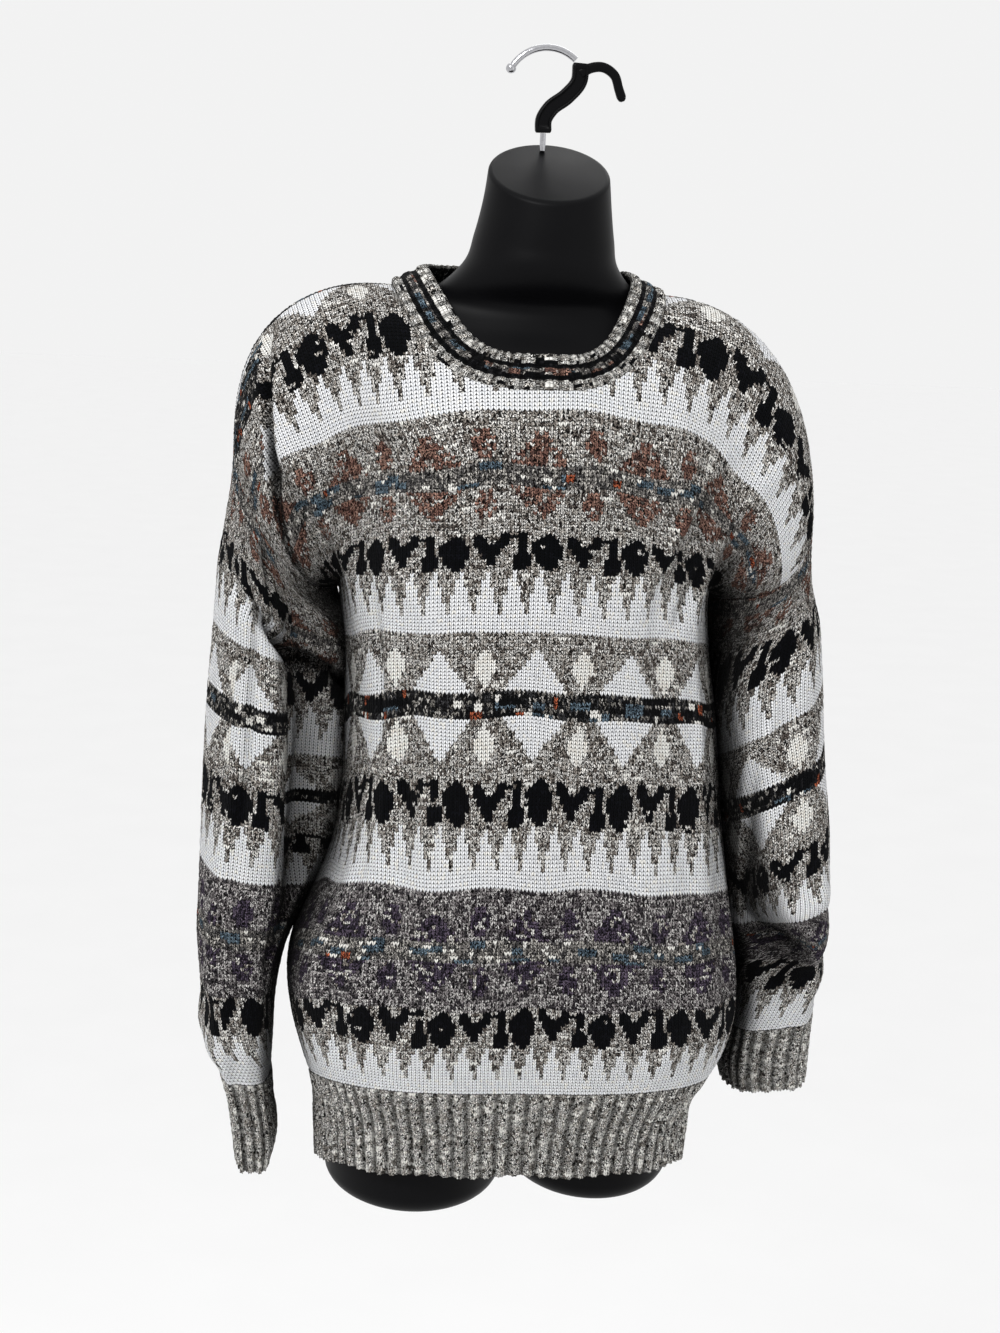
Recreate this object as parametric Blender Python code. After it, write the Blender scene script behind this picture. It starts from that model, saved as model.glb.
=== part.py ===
# A fair isle pullover on a smooth hanging torso form.
# Metres, +Z up, the front towards -Y. The origin is where the chrome hook rests:
# the lowest point of its wire's inner side at the crown.
# p runs across a knitted piece from its centre, d runs down it from the shoulder,
# v runs down a sleeve from the armhole seam. All three are lengths of flat knitting.

import bpy
import bmesh
import numpy as np
from mathutils import Vector


# Sizes of the flat knitting
HALF_WIDTH = 0.290
ARMHOLE_DEPTH = 0.252
RIB_START = 0.651
HEM_END = 0.727
SLEEVE_LENGTH = 0.521
CUFF_END = 0.593
NECK_HALF_WIDTH = 0.098
NECK_FRONT_DEPTH = 0.118
NECK_BACK_DEPTH = 0.046
NECK_FULLNESS = 0.78
NECK_EASE = 0.080

# Cloth and seams
WALL = 0.0028
SEAM_GAP = 0.0004
ARMHOLE_GAP = 0.0007
RIB_HEIGHT = 0.0012

# How the rows hang
SIDE_DROOP = 0.038
BACK_DROOP = 0.022
DROOP_POWER = 1.6
SECTION_POWER = 2.15
CENTRE_TURN = 6.8
CHEST_EASE = 0.23
CHEST_REACH = 0.088
BACK_REACH = 0.080

# The shoulder line: from the neck point out and over the tip
NECK_POINT_HEIGHT = -0.163
SHOULDER_START = 0.090
SHOULDERS = {
    -1: {"start": -0.166, "reach": 0.133, "drop": 0.126, "power": 2.6},
    1: {"start": -0.169, "reach": 0.132, "drop": 0.160, "power": 2.25},
}


def table(names, rows):
    """Columns of a table by name."""
    return {name: np.array(column) for name, column in zip(names.split(), zip(*rows))}


# Height of each row of knitting at the centre of the front
ROW_HEIGHTS = table("down height", [
    (0.1300, -0.248),
    (0.2218, -0.332),
    (0.2974, -0.4075),
    (0.3528, -0.463),
    (0.4081, -0.519),
    (0.4837, -0.602),
    (0.5755, -0.692),
    (0.6511, -0.760),
    (0.7270, -0.834),
])

# Half widths and depths of the body by height
BODY = table("height left right front back", [
    (-0.880, 0.147, 0.153, 0.120, 0.106),
    (-0.838, 0.149, 0.155, 0.122, 0.108),
    (-0.806, 0.151, 0.159, 0.126, 0.112),
    (-0.772, 0.162, 0.180, 0.134, 0.122),
    (-0.738, 0.171, 0.189, 0.138, 0.128),
    (-0.705, 0.174, 0.188, 0.138, 0.128),
    (-0.672, 0.168, 0.183, 0.135, 0.124),
    (-0.640, 0.154, 0.178, 0.132, 0.120),
    (-0.600, 0.140, 0.172, 0.128, 0.115),
    (-0.560, 0.135, 0.166, 0.125, 0.112),
    (-0.490, 0.134, 0.158, 0.122, 0.109),
    (-0.440, 0.136, 0.1495, 0.123, 0.110),
    (-0.400, 0.141, 0.1460, 0.125, 0.112),
    (-0.362, 0.148, 0.150, 0.125, 0.112),
    (-0.330, 0.152, 0.153, 0.124, 0.111),
])

# Sleeve sections by height, as distances from the middle of the body and depths:
# inner edge, fold edge between the set back part and the front face, outer edge,
# then the set back face, the front face and the back
SLEEVES = {
    -1: table("height inner fold outer step front back", [
        (-0.900, 0.186, 0.198, 0.210, -0.030, -0.030, 0.040),
        (-0.876, 0.185, 0.198, 0.212, -0.032, -0.032, 0.042),
        (-0.850, 0.180, 0.198, 0.215, -0.036, -0.036, 0.046),
        (-0.820, 0.184, 0.202, 0.220, -0.034, -0.034, 0.046),
        (-0.800, 0.185, 0.205, 0.226, -0.036, -0.036, 0.050),
        (-0.770, 0.184, 0.207, 0.239, -0.044, -0.044, 0.064),
        (-0.727, 0.182, 0.205, 0.243, -0.050, -0.050, 0.072),
        (-0.690, 0.180, 0.192, 0.244, -0.042, -0.052, 0.075),
        (-0.645, 0.163, 0.182, 0.244, -0.022, -0.054, 0.076),
        (-0.600, 0.146, 0.179, 0.243, -0.014, -0.056, 0.076),
        (-0.565, 0.140, 0.178, 0.242, -0.012, -0.058, 0.076),
        (-0.490, 0.1385, 0.178, 0.239, -0.016, -0.062, 0.076),
        (-0.440, 0.141, 0.180, 0.235, -0.024, -0.066, 0.076),
        (-0.360, 0.150, 0.185, 0.229, -0.050, -0.066, 0.074),
        (-0.290, 0.158, 0.190, 0.222, -0.060, -0.060, 0.070),
    ]),
    1: table("height inner fold outer step front back", [
        (-0.850, 0.192, 0.222, 0.256, -0.020, -0.020, 0.052),
        (-0.812, 0.191, 0.222, 0.258, -0.022, -0.022, 0.054),
        (-0.785, 0.187, 0.222, 0.259, -0.022, -0.022, 0.056),
        (-0.758, 0.190, 0.225, 0.260, -0.024, -0.024, 0.060),
        (-0.735, 0.1925, 0.228, 0.263, -0.028, -0.028, 0.068),
        (-0.700, 0.1925, 0.236, 0.264, -0.020, -0.036, 0.074),
        (-0.672, 0.188, 0.232, 0.262, -0.010, -0.062, 0.076),
        (-0.640, 0.183, 0.214, 0.258, -0.008, -0.066, 0.076),
        (-0.600, 0.1775, 0.196, 0.254, -0.014, -0.068, 0.076),
        (-0.551, 0.170, 0.186, 0.248, -0.040, -0.068, 0.076),
        (-0.486, 0.167, 0.190, 0.240, -0.066, -0.066, 0.076),
        (-0.440, 0.162, 0.190, 0.234, -0.066, -0.066, 0.076),
        (-0.400, 0.157, 0.190, 0.228, -0.064, -0.064, 0.074),
        (-0.325, 0.155, 0.185, 0.222, -0.060, -0.060, 0.070),
    ]),
}

# Height of each sleeve row at the outer and the inner edge
SLEEVE_ROWS = {
    -1: table("down outer inner", [
        (0.000, -0.292, -0.400),
        (0.167, -0.455, -0.475),
        (0.278, -0.558, -0.568),
        (0.354, -0.630, -0.637),
        (0.446, -0.722, -0.726),
        (0.521, -0.795, -0.799),
        (0.593, -0.872, -0.876),
    ]),
    1: table("down outer inner", [
        (0.000, -0.329, -0.400),
        (0.167, -0.490, -0.510),
        (0.278, -0.585, -0.600),
        (0.354, -0.640, -0.652),
        (0.446, -0.690, -0.703),
        (0.521, -0.745, -0.760),
        (0.593, -0.803, -0.812),
    ]),
}
SLEEVE_BLEND = 0.100
SLEEVE_RING_PLACES = (0.0, 0.016, 0.034, 0.060, 0.090, 0.125, 0.165, 0.205, 0.240, 0.270, 0.300,
                      0.330, 0.355, 0.380, 0.405, 0.435, 0.465, 0.495, 0.521)
LOOP_POINTS = 24
CUFF_RIBS = 20
NECK_COLUMNS = 15
FOLD_SOFTNESS = 0.006

# The largest folds of the body: place across and down, how high, and their reach
# either way along a line that leans by so much across for each metre down
BODY_FOLDS = {
    "front": table("across down height wide long lean", [
        (-0.137, 0.420, 0.0070, 0.016, 0.130, -0.02),
        (-0.112, 0.430, -0.0040, 0.016, 0.120, 0.05),
        (-0.205, 0.205, 0.0060, 0.020, 0.070, 0.30),
        (0.150, 0.215, -0.0050, 0.018, 0.060, -0.45),
        (0.178, 0.230, 0.0060, 0.018, 0.070, -0.30),
        (0.165, 0.560, 0.0050, 0.022, 0.100, 0.10),
        (-0.190, 0.575, 0.0060, 0.022, 0.090, -0.15),
        (-0.060, 0.590, 0.0040, 0.026, 0.060, 0.05),
        (0.070, 0.600, 0.0035, 0.030, 0.060, 0.00),
    ]),
    "back": table("across down height wide long lean", [
        (-0.120, 0.430, 0.0060, 0.018, 0.120, 0.10),
        (0.130, 0.400, 0.0065, 0.018, 0.130, -0.08),
        (-0.040, 0.520, -0.0040, 0.024, 0.110, 0.06),
        (0.060, 0.560, 0.0045, 0.026, 0.090, 0.00),
        (0.200, 0.560, 0.0050, 0.022, 0.090, 0.12),
        (-0.195, 0.560, 0.0050, 0.022, 0.090, -0.10),
    ]),
}

# Neckband: a thick ribbed strip that lies inward from the neckline
BAND_WIDTH = 0.030
BAND_THICK = 0.0050
BAND_RIBS = 44
BAND_RIB_HEIGHT = 0.0006
# How steeply the band rises inward, from the front centre round to the back centre
BAND_LIFT = table("turn lift", [
    (0.00, 1.60),
    (0.50, 1.20),
    (1.00, 0.65),
    (1.57, 0.45),
    (2.20, 1.00),
    (2.70, 1.90),
    (3.15, 2.30),
])
# Section of the band: share of its width inward, share of its thickness outward
BAND_SECTION = ((0.00, 0.00), (0.02, 0.80), (0.16, 1.00), (0.31, 0.72), (0.50, 0.95),
                (0.68, 0.72), (0.85, 1.05), (1.00, 0.60), (0.92, 0.00))

# Torso form rings by height: middle in Y, half width, front and back depths, slope in Y
FORM_RINGS = table("height middle wide front back slope", [
    (-0.0830, -0.030, 0.0425, 0.041, 0.041, 0.50),
    (-0.0855, -0.030, 0.0450, 0.0435, 0.0435, 0.50),
    (-0.1060, -0.029, 0.0475, 0.045, 0.045, 0.34),
    (-0.1300, -0.027, 0.0520, 0.047, 0.047, 0.16),
    (-0.1490, -0.025, 0.0570, 0.049, 0.048, 0.06),
    (-0.1640, -0.018, 0.0700, 0.050, 0.050, 0.00),
    (-0.1790, -0.010, 0.0930, 0.045, 0.048, 0.00),
    (-0.1960, -0.008, 0.1280, 0.052, 0.055, 0.00),
    (-0.2150, -0.007, 0.1560, 0.068, 0.064, 0.00),
    (-0.2450, -0.006, 0.1680, 0.083, 0.074, 0.00),
    (-0.2850, -0.005, 0.1660, 0.097, 0.083, 0.00),
    (-0.3250, -0.004, 0.1500, 0.106, 0.089, 0.00),
    (-0.3650, -0.003, 0.1330, 0.107, 0.089, 0.00),
    (-0.4100, -0.003, 0.1240, 0.098, 0.086, 0.00),
    (-0.4700, -0.003, 0.1170, 0.086, 0.080, 0.00),
    (-0.5300, -0.003, 0.1150, 0.082, 0.080, 0.00),
    (-0.6000, -0.003, 0.1240, 0.088, 0.088, 0.00),
    (-0.6700, -0.003, 0.1370, 0.095, 0.096, 0.00),
    (-0.7300, -0.003, 0.1420, 0.098, 0.099, 0.00),
    (-0.7800, -0.003, 0.1420, 0.097, 0.098, 0.00),
    (-0.8100, -0.003, 0.1340, 0.090, 0.090, 0.00),
    (-0.8220, -0.003, 0.1120, 0.075, 0.075, 0.00),
])
FORM_SIDES = 24
THIGHS = {
    "right": {"x": -0.0685, "y": -0.007, "wide": 0.0715, "deep": 0.083, "bottom": -0.8850},
    "left": {"x": 0.0750, "y": 0.002, "wide": 0.0670, "deep": 0.082, "bottom": -0.8790},
}
# Thigh rings as heights over the bottom and shares of the full width
THIGH_RINGS = table("over share", [
    (0.120, 0.97),
    (0.045, 1.00),
    (0.014, 0.97),
    (0.004, 0.89),
    (0.000, 0.76),
])
THIGH_SIDES = 20

# Hook, rod and grip
WIRE_RADIUS = 0.0025
HOOK_RADIUS = 0.0310
HOOK_SHIFT = 0.0030
HOOK_START_ANGLE = 151.0
HOOK_END_ANGLE = 48.5
BALL_RADIUS = 0.0038
FORM_DROP = 0.0045
ROD_X = 0.0018
ROD_TOP = -0.0589
ROD_FOOT = -0.0711
ROD_RADIUS = 0.0022
GRIP_WIDTH = 0.0120
GRIP_DEPTH = 0.0080
GRIP_CHANNEL = 0.0016
GRIP_RIM = 0.0022
GRIP_LINE = ((0.0275, -0.0075), (0.0266, -0.0207), (0.0180, -0.0316), (0.0063, -0.0411),
             (0.0018, -0.0489), (0.0018, -0.0586))
SIDE_HOOK_WIDTH = 0.0078
SIDE_HOOK_DEPTH = 0.0066
SIDE_HOOK_LINE = ((0.0275, -0.0150), (0.0350, -0.0106), (0.0440, -0.0096), (0.0530, -0.0150),
                  (0.0568, -0.0247), (0.0602, -0.0335))


def clear_scene():
    for item in list(bpy.data.objects):
        bpy.data.objects.remove(item, do_unlink=True)


def material(name, color, roughness, metallic=0.0):
    made = bpy.data.materials.new(name)
    made.use_nodes = True
    shader = made.node_tree.nodes["Principled BSDF"]
    shader.inputs["Base Color"].default_value = (*color, 1.0)
    shader.inputs["Roughness"].default_value = roughness
    shader.inputs["Metallic"].default_value = metallic
    return made


def smooth_step(value):
    value = np.clip(value, 0.0, 1.0)
    return value * value * (3.0 - 2.0 * value)


def smooth_curve(at, places, values):
    """A smooth curve through a table's rows, by cubic pieces."""
    order = np.argsort(places)
    places = places[order]
    values = values[order]
    slopes = np.gradient(values, places)
    at = np.clip(np.asarray(at, dtype=float), places[0], places[-1])
    piece = np.clip(np.searchsorted(places, at) - 1, 0, len(places) - 2)
    span = places[piece + 1] - places[piece]
    t = (at - places[piece]) / span
    return ((1 + 2 * t) * (1 - t) ** 2 * values[piece]
            + t * (1 - t) ** 2 * span * slopes[piece]
            + t * t * (3 - 2 * t) * values[piece + 1]
            + t * t * (t - 1) * span * slopes[piece + 1])


def blend(a, b, share):
    return a + (b - a) * share


def row_height(down):
    """Height of a row at the centre of the front."""
    return smooth_curve(down, ROW_HEIGHTS["down"], ROW_HEIGHTS["height"])


def body_turn(across):
    """Angle round the body of a column of knitting, 0 at the centre, a quarter turn at the side."""
    excess = CENTRE_TURN * HALF_WIDTH - np.pi / 2
    return CENTRE_TURN * across - excess * (across / HALF_WIDTH) ** 3


def body_section(across, height, face):
    """A point of the body's section at a height. face is -1 for the front, 1 for the back."""
    turn = body_turn(np.abs(across))
    left = smooth_curve(height, BODY["height"], BODY["left"])
    right = smooth_curve(height, BODY["height"], BODY["right"])
    wide = np.where(across < 0, left, right)
    deep = smooth_curve(height, BODY["height"], BODY["front" if face < 0 else "back"])
    radius = ((np.sin(turn) / wide) ** SECTION_POWER
              + (np.abs(np.cos(turn)) / deep) ** SECTION_POWER) ** (-1.0 / SECTION_POWER)
    return np.stack([np.sign(across) * radius * np.sin(turn),
                     face * radius * np.cos(turn), height + 0 * radius], axis=-1)


def lower_body(across, down, face):
    """The body below the underarms."""
    share = (np.abs(across) / HALF_WIDTH) ** DROOP_POWER
    centre = 0.0 if face < 0 else BACK_DROOP
    height = row_height(down) - blend(centre, SIDE_DROOP, share)
    return body_section(across, height, face)


def shoulder_line(across):
    """The top edge of the shoulder above a column of knitting."""
    side = np.where(across < 0, -1, 1)
    size = np.abs(across)
    result = np.zeros(np.shape(across) + (3,))
    for sign, shape in SHOULDERS.items():
        angle = np.linspace(0.0, np.pi / 2, 60)
        power = 2.0 / shape["power"]
        x = SHOULDER_START + shape["reach"] * np.sin(angle) ** power
        z = shape["start"] - shape["drop"] * (1.0 - np.cos(angle) ** power)
        length = np.concatenate([[0.0], np.cumsum(np.hypot(np.diff(x), np.diff(z)))])
        share = np.clip((size - SHOULDER_START) / (HALF_WIDTH - SHOULDER_START), 0.0, 1.0)
        outer_x = np.interp(share * length[-1], length, x)
        outer_z = np.interp(share * length[-1], length, z)
        neck = size < SHOULDER_START
        inner_z = blend(NECK_POINT_HEIGHT, shape["start"], smooth_step(size / SHOULDER_START))
        x = np.where(neck, size, outer_x)
        z = np.where(neck, inner_z, outer_z)
        mine = side == sign
        result[mine] = np.stack([sign * x, 0 * x, z], axis=-1)[mine]
    return result


def upper_body(across, down, face):
    """The body from the shoulder line to the underarms, over the chest or the back."""
    top = shoulder_line(across)
    low = lower_body(across, np.full(np.shape(across), ARMHOLE_DEPTH), face)
    start = 0.130
    cap = smooth_step((np.abs(across) - start) / (HALF_WIDTH - start))
    reach = CHEST_REACH if face < 0 else BACK_REACH
    lean_top = np.stack([0 * cap, face * blend(reach, 0.088, cap), -0.016 * cap], axis=-1)
    lean_low = np.stack([0.042 * cap ** 2 * np.sign(across), face * 0.078 * cap,
                         blend(0.130, -0.004, cap)], axis=-1)
    points = [top, top + lean_top, low + lean_low, low]
    steps = np.linspace(0.0, 1.0, 33).reshape((-1,) + (1,) * top.ndim)
    path = ((1 - steps) ** 3 * points[0] + 3 * steps * (1 - steps) ** 2 * points[1]
            + 3 * steps ** 2 * (1 - steps) * points[2] + steps ** 3 * points[3])
    pieces = np.linalg.norm(np.diff(path, axis=0), axis=-1)
    length = np.concatenate([np.zeros((1,) + pieces.shape[1:]), np.cumsum(pieces, axis=0)])
    share = np.clip(down / ARMHOLE_DEPTH, 0.0, 1.0)
    share = share + CHEST_EASE * (1 - cap) * share * (1 - share)
    wanted = share * length[-1]
    result = np.zeros(top.shape)
    for k in range(len(path) - 1):
        here = (wanted >= length[k]) & ((wanted < length[k + 1]) | (k == len(path) - 2))
        t = (wanted - length[k]) / np.maximum(length[k + 1] - length[k], 1e-9)
        point = path[k] + (path[k + 1] - path[k]) * np.clip(t, 0.0, 1.0)[..., None]
        result[here] = point[here]
    return result


def body_plain(across, down, face):
    across, down = np.broadcast_arrays(np.asarray(across, float), np.asarray(down, float))
    upper = upper_body(across, down, face)
    lower = lower_body(across, np.maximum(down, ARMHOLE_DEPTH), face)
    return np.where((down < ARMHOLE_DEPTH)[..., None], upper, lower)


def fold_height(across, down, folds):
    """How far the largest folds lift the cloth."""
    lift = np.zeros(np.shape(across))
    for k in range(len(folds["across"])):
        off = down - folds["down"][k]
        beside = across - folds["across"][k] - folds["lean"][k] * off
        lift = lift + folds["height"][k] * np.exp(-(beside / folds["wide"][k]) ** 2
                                                  - (off / folds["long"][k]) ** 2)
    edge = smooth_step((HALF_WIDTH - np.abs(across)) / 0.03)
    top = smooth_step(down / 0.05)
    rib = smooth_step((RIB_START - down) / 0.08)
    return lift * edge * top * rib


def surface_normal(place, across, down, out):
    """Outward normal of a surface given as a function of two lengths."""
    step = 0.002
    side = place(across + step, down) - place(across - step, down)
    run = place(across, down + step) - place(across, down - step)
    normal = np.cross(side, run) * out
    size = np.linalg.norm(normal, axis=-1, keepdims=True)
    return normal / np.maximum(size, 1e-9)


def body_point(across, down, face):
    """A point of the body's outer face with its largest folds."""
    across, down = np.broadcast_arrays(np.asarray(across, float), np.asarray(down, float))
    folds = BODY_FOLDS["front" if face < 0 else "back"]
    lift = fold_height(across, down, folds)
    inner = np.clip(across, -HALF_WIDTH + 0.003, HALF_WIDTH - 0.003)
    normal = surface_normal(lambda p, d: body_plain(p, d, face), inner,
                            np.clip(down, 0.003, HEM_END - 0.003), face)
    return body_plain(across, down, face) + normal * lift[..., None]


def panel_normal(across, down, face):
    """Outward normals of a panel with its folds."""
    inside = np.clip(across, -HALF_WIDTH + 0.004, HALF_WIDTH - 0.004)
    return surface_normal(lambda p, d: body_point(p, d, face), inside,
                          np.clip(down, 0.004, HEM_END - 0.004), face)


def armhole_loop(side, around):
    """The armhole seam: 0 at the underarm, a quarter at the front, a half at the top."""
    around = np.mod(around, 1.0)
    front = body_plain(side * HALF_WIDTH, ARMHOLE_DEPTH * (1 - 2 * np.minimum(around, 0.5)), -1)
    back = body_plain(side * HALF_WIDTH, ARMHOLE_DEPTH * (2 * np.maximum(around, 0.5) - 1), 1)
    return np.where((around < 0.5)[..., None], front, back)


def closed_curve(anchors, count):
    """Points at equal spaces along a smooth closed curve through the anchors."""
    anchors = np.array(anchors)
    before = np.roll(anchors, 1, axis=0)
    after = np.roll(anchors, -1, axis=0)
    beyond = np.roll(anchors, -2, axis=0)
    pieces = []
    for t in np.linspace(0.0, 1.0, 12, endpoint=False):
        pieces.append(0.5 * (2 * anchors + (after - before) * t
                             + (2 * before - 5 * anchors + 4 * after - beyond) * t ** 2
                             + (3 * anchors - before - 3 * after + beyond) * t ** 3))
    dense = np.stack(pieces, axis=1).reshape(-1, 2)
    dense = np.vstack([dense, dense[:1]])
    length = np.concatenate([[0.0], np.cumsum(np.linalg.norm(np.diff(dense, axis=0), axis=1))])
    wanted = np.linspace(0.0, length[-1], count, endpoint=False)
    return np.stack([np.interp(wanted, length, dense[:, 0]),
                     np.interp(wanted, length, dense[:, 1])], axis=-1)


def sleeve_section(side, height, count):
    """One section of a sleeve: from the inner edge round the front to the outer edge and back."""
    rows = SLEEVES[side]
    inner, fold, outer, step, front, back = (
        float(smooth_curve(height, rows["height"], rows[name]))
        for name in "inner fold outer step front back".split())
    wide = outer - inner
    middle = 0.5 * (front + back) + 0.010
    corner = 0.20 * wide
    anchors = [
        (inner, middle),
        (inner + 0.10 * wide, blend(middle, step, 0.80)),
        (max(fold - FOLD_SOFTNESS, inner + corner), step),
        (max(fold + FOLD_SOFTNESS, inner + corner + 0.008), front),
        (outer - corner, front),
        (outer - 0.04 * wide, blend(front, middle, 0.45)),
        (outer, middle),
        (outer - corner, back),
        (inner + corner, back),
    ]
    ring = closed_curve(anchors, count)
    return np.stack([side * ring[:, 0], ring[:, 1]], axis=-1)


def sleeve_rings(side, downs, count):
    """Rings of a sleeve at the given lengths down it."""
    around = np.arange(count) / count
    loop = armhole_loop(side, around)
    share = 0.5 - 0.5 * np.cos(2 * np.pi * around)
    rows = SLEEVE_ROWS[side]
    start = blend(rows["inner"][0], rows["outer"][0], share)
    rings = []
    for down in downs:
        outer = float(smooth_curve(down, rows["down"], rows["outer"]))
        inner = float(smooth_curve(down, rows["down"], rows["inner"]))
        height = blend(inner, outer, share)
        flat = sleeve_section(side, 0.5 * (outer + inner), count)
        section = np.column_stack([flat, height])
        hung = loop + np.array([0.0, 0.0, 1.0]) * (height - start)[:, None]
        rings.append(blend(hung, section, smooth_step(down / SLEEVE_BLEND)))
    return np.array(rings)


def grid_normals(grid, closed):
    """Normals at the points of a grid of rows and columns."""
    if closed:
        side = np.roll(grid, -1, axis=1) - np.roll(grid, 1, axis=1)
    else:
        side = np.gradient(grid, axis=1)
    run = np.gradient(grid, axis=0)
    normal = np.cross(side, run)
    return normal / np.maximum(np.linalg.norm(normal, axis=-1, keepdims=True), 1e-9)


def split_face(mesh, first, second, third, fourth):
    """A four-sided edge face as two triangles that meet on the line from first to third."""
    mesh.faces.new([first, second, third])
    mesh.faces.new([first, third, fourth])


def wall(name, grid, normal, look, closed=False, raised=None, rising=True):
    """A cloth wall whose outer face is a grid of points. The inner face is plain.

    rising says which way the edge faces at the sides are split, to match the neighbour's.
    """
    inner = grid - normal * WALL
    outer = grid if raised is None else grid + normal * raised[..., None]
    mesh = bmesh.new()
    faces = []
    for layer in (outer, inner):
        faces.append([[mesh.verts.new(Vector(point)) for point in row] for row in layer])
    rows, columns = grid.shape[:2]
    spans = columns if closed else columns - 1
    for r in range(rows - 1):
        for c in range(spans):
            n = (c + 1) % columns
            for layer, flip in zip(faces, (False, True)):
                corners = [layer[r][c], layer[r + 1][c], layer[r + 1][n], layer[r][n]]
                mesh.faces.new(corners[::-1] if flip else corners)
    for r in (0, rows - 1):
        for c in range(spans):
            n = (c + 1) % columns
            split_face(mesh, faces[0][r][c], faces[0][r][n], faces[1][r][n], faces[1][r][c])
    if not closed:
        for c in (0, columns - 1):
            for r in range(rows - 1):
                low, high = (r, r + 1) if rising else (r + 1, r)
                split_face(mesh, faces[0][low][c], faces[0][high][c],
                           faces[1][high][c], faces[1][low][c])
    return finish(name, mesh, look)


def finish(name, mesh, look, sharp=40.0):
    """Turn a bmesh into a named object with its faces pointing out."""
    bmesh.ops.triangulate(mesh, faces=mesh.faces[:])
    bmesh.ops.recalc_face_normals(mesh, faces=mesh.faces[:])
    data = bpy.data.meshes.new(name)
    mesh.to_mesh(data)
    mesh.free()
    data.materials.append(look)
    data.shade_smooth()
    data.set_sharp_from_angle(angle=np.radians(sharp))
    item = bpy.data.objects.new(name, data)
    bpy.context.scene.collection.objects.link(item)
    return item


def neckline(turn):
    """The neckline in flat lengths: 0 at the front centre, a half turn at the back centre."""
    sine = np.sin(turn)
    cosine = np.cos(turn)
    across = NECK_HALF_WIDTH * np.sign(sine) * np.abs(sine) ** NECK_FULLNESS
    depth = np.where(cosine >= 0, NECK_FRONT_DEPTH, NECK_BACK_DEPTH)
    return across, depth * np.abs(cosine) ** NECK_FULLNESS


def panel(name, face, side_columns, low_rows, look):
    """A front or back from the neckline and shoulders down to the rib."""
    turn = np.linspace(-np.pi / 2, np.pi / 2, NECK_COLUMNS)
    if face > 0:
        turn = np.pi - turn
    neck_across, neck_down = neckline(turn)
    outer = np.linspace(NECK_HALF_WIDTH, HALF_WIDTH, side_columns + 1)[1:]
    top_across = np.concatenate([-outer[::-1], neck_across, outer])
    top_down = np.concatenate([0 * outer, neck_down, 0 * outer])
    low_across = top_across.copy()
    neck = slice(side_columns, side_columns + NECK_COLUMNS)
    low_across[neck] = np.linspace(-NECK_HALF_WIDTH, NECK_HALF_WIDTH, NECK_COLUMNS)
    high = np.linspace(0.0, 1.0, LOOP_POINTS // 2 + 1)[:, None]
    low = np.linspace(0.0, 1.0, low_rows + 1)[1:, None]
    beyond = (np.abs(top_across) - NECK_HALF_WIDTH) / NECK_EASE
    lag = np.where(beyond > -1e-6, neck_down[1] * np.clip(1 - beyond, 0, 1), 0.0)
    down = np.vstack([blend(top_down + lag * (high > 0), ARMHOLE_DEPTH, high),
                      blend(ARMHOLE_DEPTH, RIB_START - SEAM_GAP, low) + 0 * top_down])
    across = np.vstack([blend(top_across, low_across, np.sqrt(smooth_step(high * 1.2))),
                        low_across + 0 * low])
    grid = body_point(across, down, face)
    normal = panel_normal(across, down, face)
    shoulder = np.abs(top_across) > NECK_HALF_WIDTH - 1e-6
    line = np.gradient(shoulder_line(top_across), axis=0)
    upright = np.stack([-line[:, 2], 0 * line[:, 0], line[:, 0]], axis=-1)
    upright /= np.linalg.norm(upright, axis=1, keepdims=True)
    normal[0][shoulder] = upright[shoulder]
    grid[0][shoulder, 1] += face * SEAM_GAP
    normal[-1] = level_edge(normal[-1])
    close_sides(grid, normal, down, face)
    return wall(name, grid, normal, look, rising=face > 0)


def level_edge(normal):
    """Normals turned level, so that an edge face lies flat to its neighbour's."""
    flat = normal * np.array([1.0, 1.0, 0.0])
    return flat / np.linalg.norm(flat, axis=-1, keepdims=True)


def loop_frame(side):
    """Round the armhole seam: the cloth's outward direction and the way it runs down the sleeve."""
    around = np.arange(LOOP_POINTS) / LOOP_POINTS
    rings = sleeve_rings(side, (0.0, SLEEVE_RING_PLACES[1]), LOOP_POINTS)
    along = np.roll(rings[0], -1, axis=0) - np.roll(rings[0], 1, axis=0)
    along /= np.linalg.norm(along, axis=1, keepdims=True)
    fall = rings[1] - rings[0]
    hung = np.cross(along, fall) * -side
    hung /= np.linalg.norm(hung, axis=1, keepdims=True)
    down = ARMHOLE_DEPTH * np.abs(1 - 2 * around)
    front = panel_normal(side * HALF_WIDTH, down, -1)
    back = panel_normal(side * HALF_WIDTH, down, 1)
    share = np.select([around == 0.0, around < 0.5, around == 0.5], [0.5, 0.0, 0.5], 1.0)
    out = blend(front, back, share[:, None]) + hung
    out -= along * np.sum(out * along, axis=1, keepdims=True)
    out /= np.linalg.norm(out, axis=1, keepdims=True)
    run = np.cross(out, along)
    run *= np.sign(np.sum(run * fall, axis=1, keepdims=True))
    return out, run


def close_sides(grid, normal, down, face):
    """Square a panel's two side edges to its neighbours and set them a seam apart."""
    for column, side in ((0, -1), (-1, 1)):
        above = down[:, column] < ARMHOLE_DEPTH + 1e-6
        below = down[:, column] > ARMHOLE_DEPTH - 1e-6
        normal[below, column] = (side, 0.0, 0.0)
        if above.any():
            out, run = loop_frame(side)
            around = 0.5 + 0.5 * face * down[above, column] / ARMHOLE_DEPTH
            place = np.round(around * LOOP_POINTS).astype(int) % LOOP_POINTS
            normal[above, column] = out[place]
            grid[above, column] -= run[place] * ARMHOLE_GAP
            normal[above & below, column] = np.array([side, 0.0, -1.0]) / np.sqrt(2.0)
        grid[below, column, 1] += face * SEAM_GAP


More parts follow.
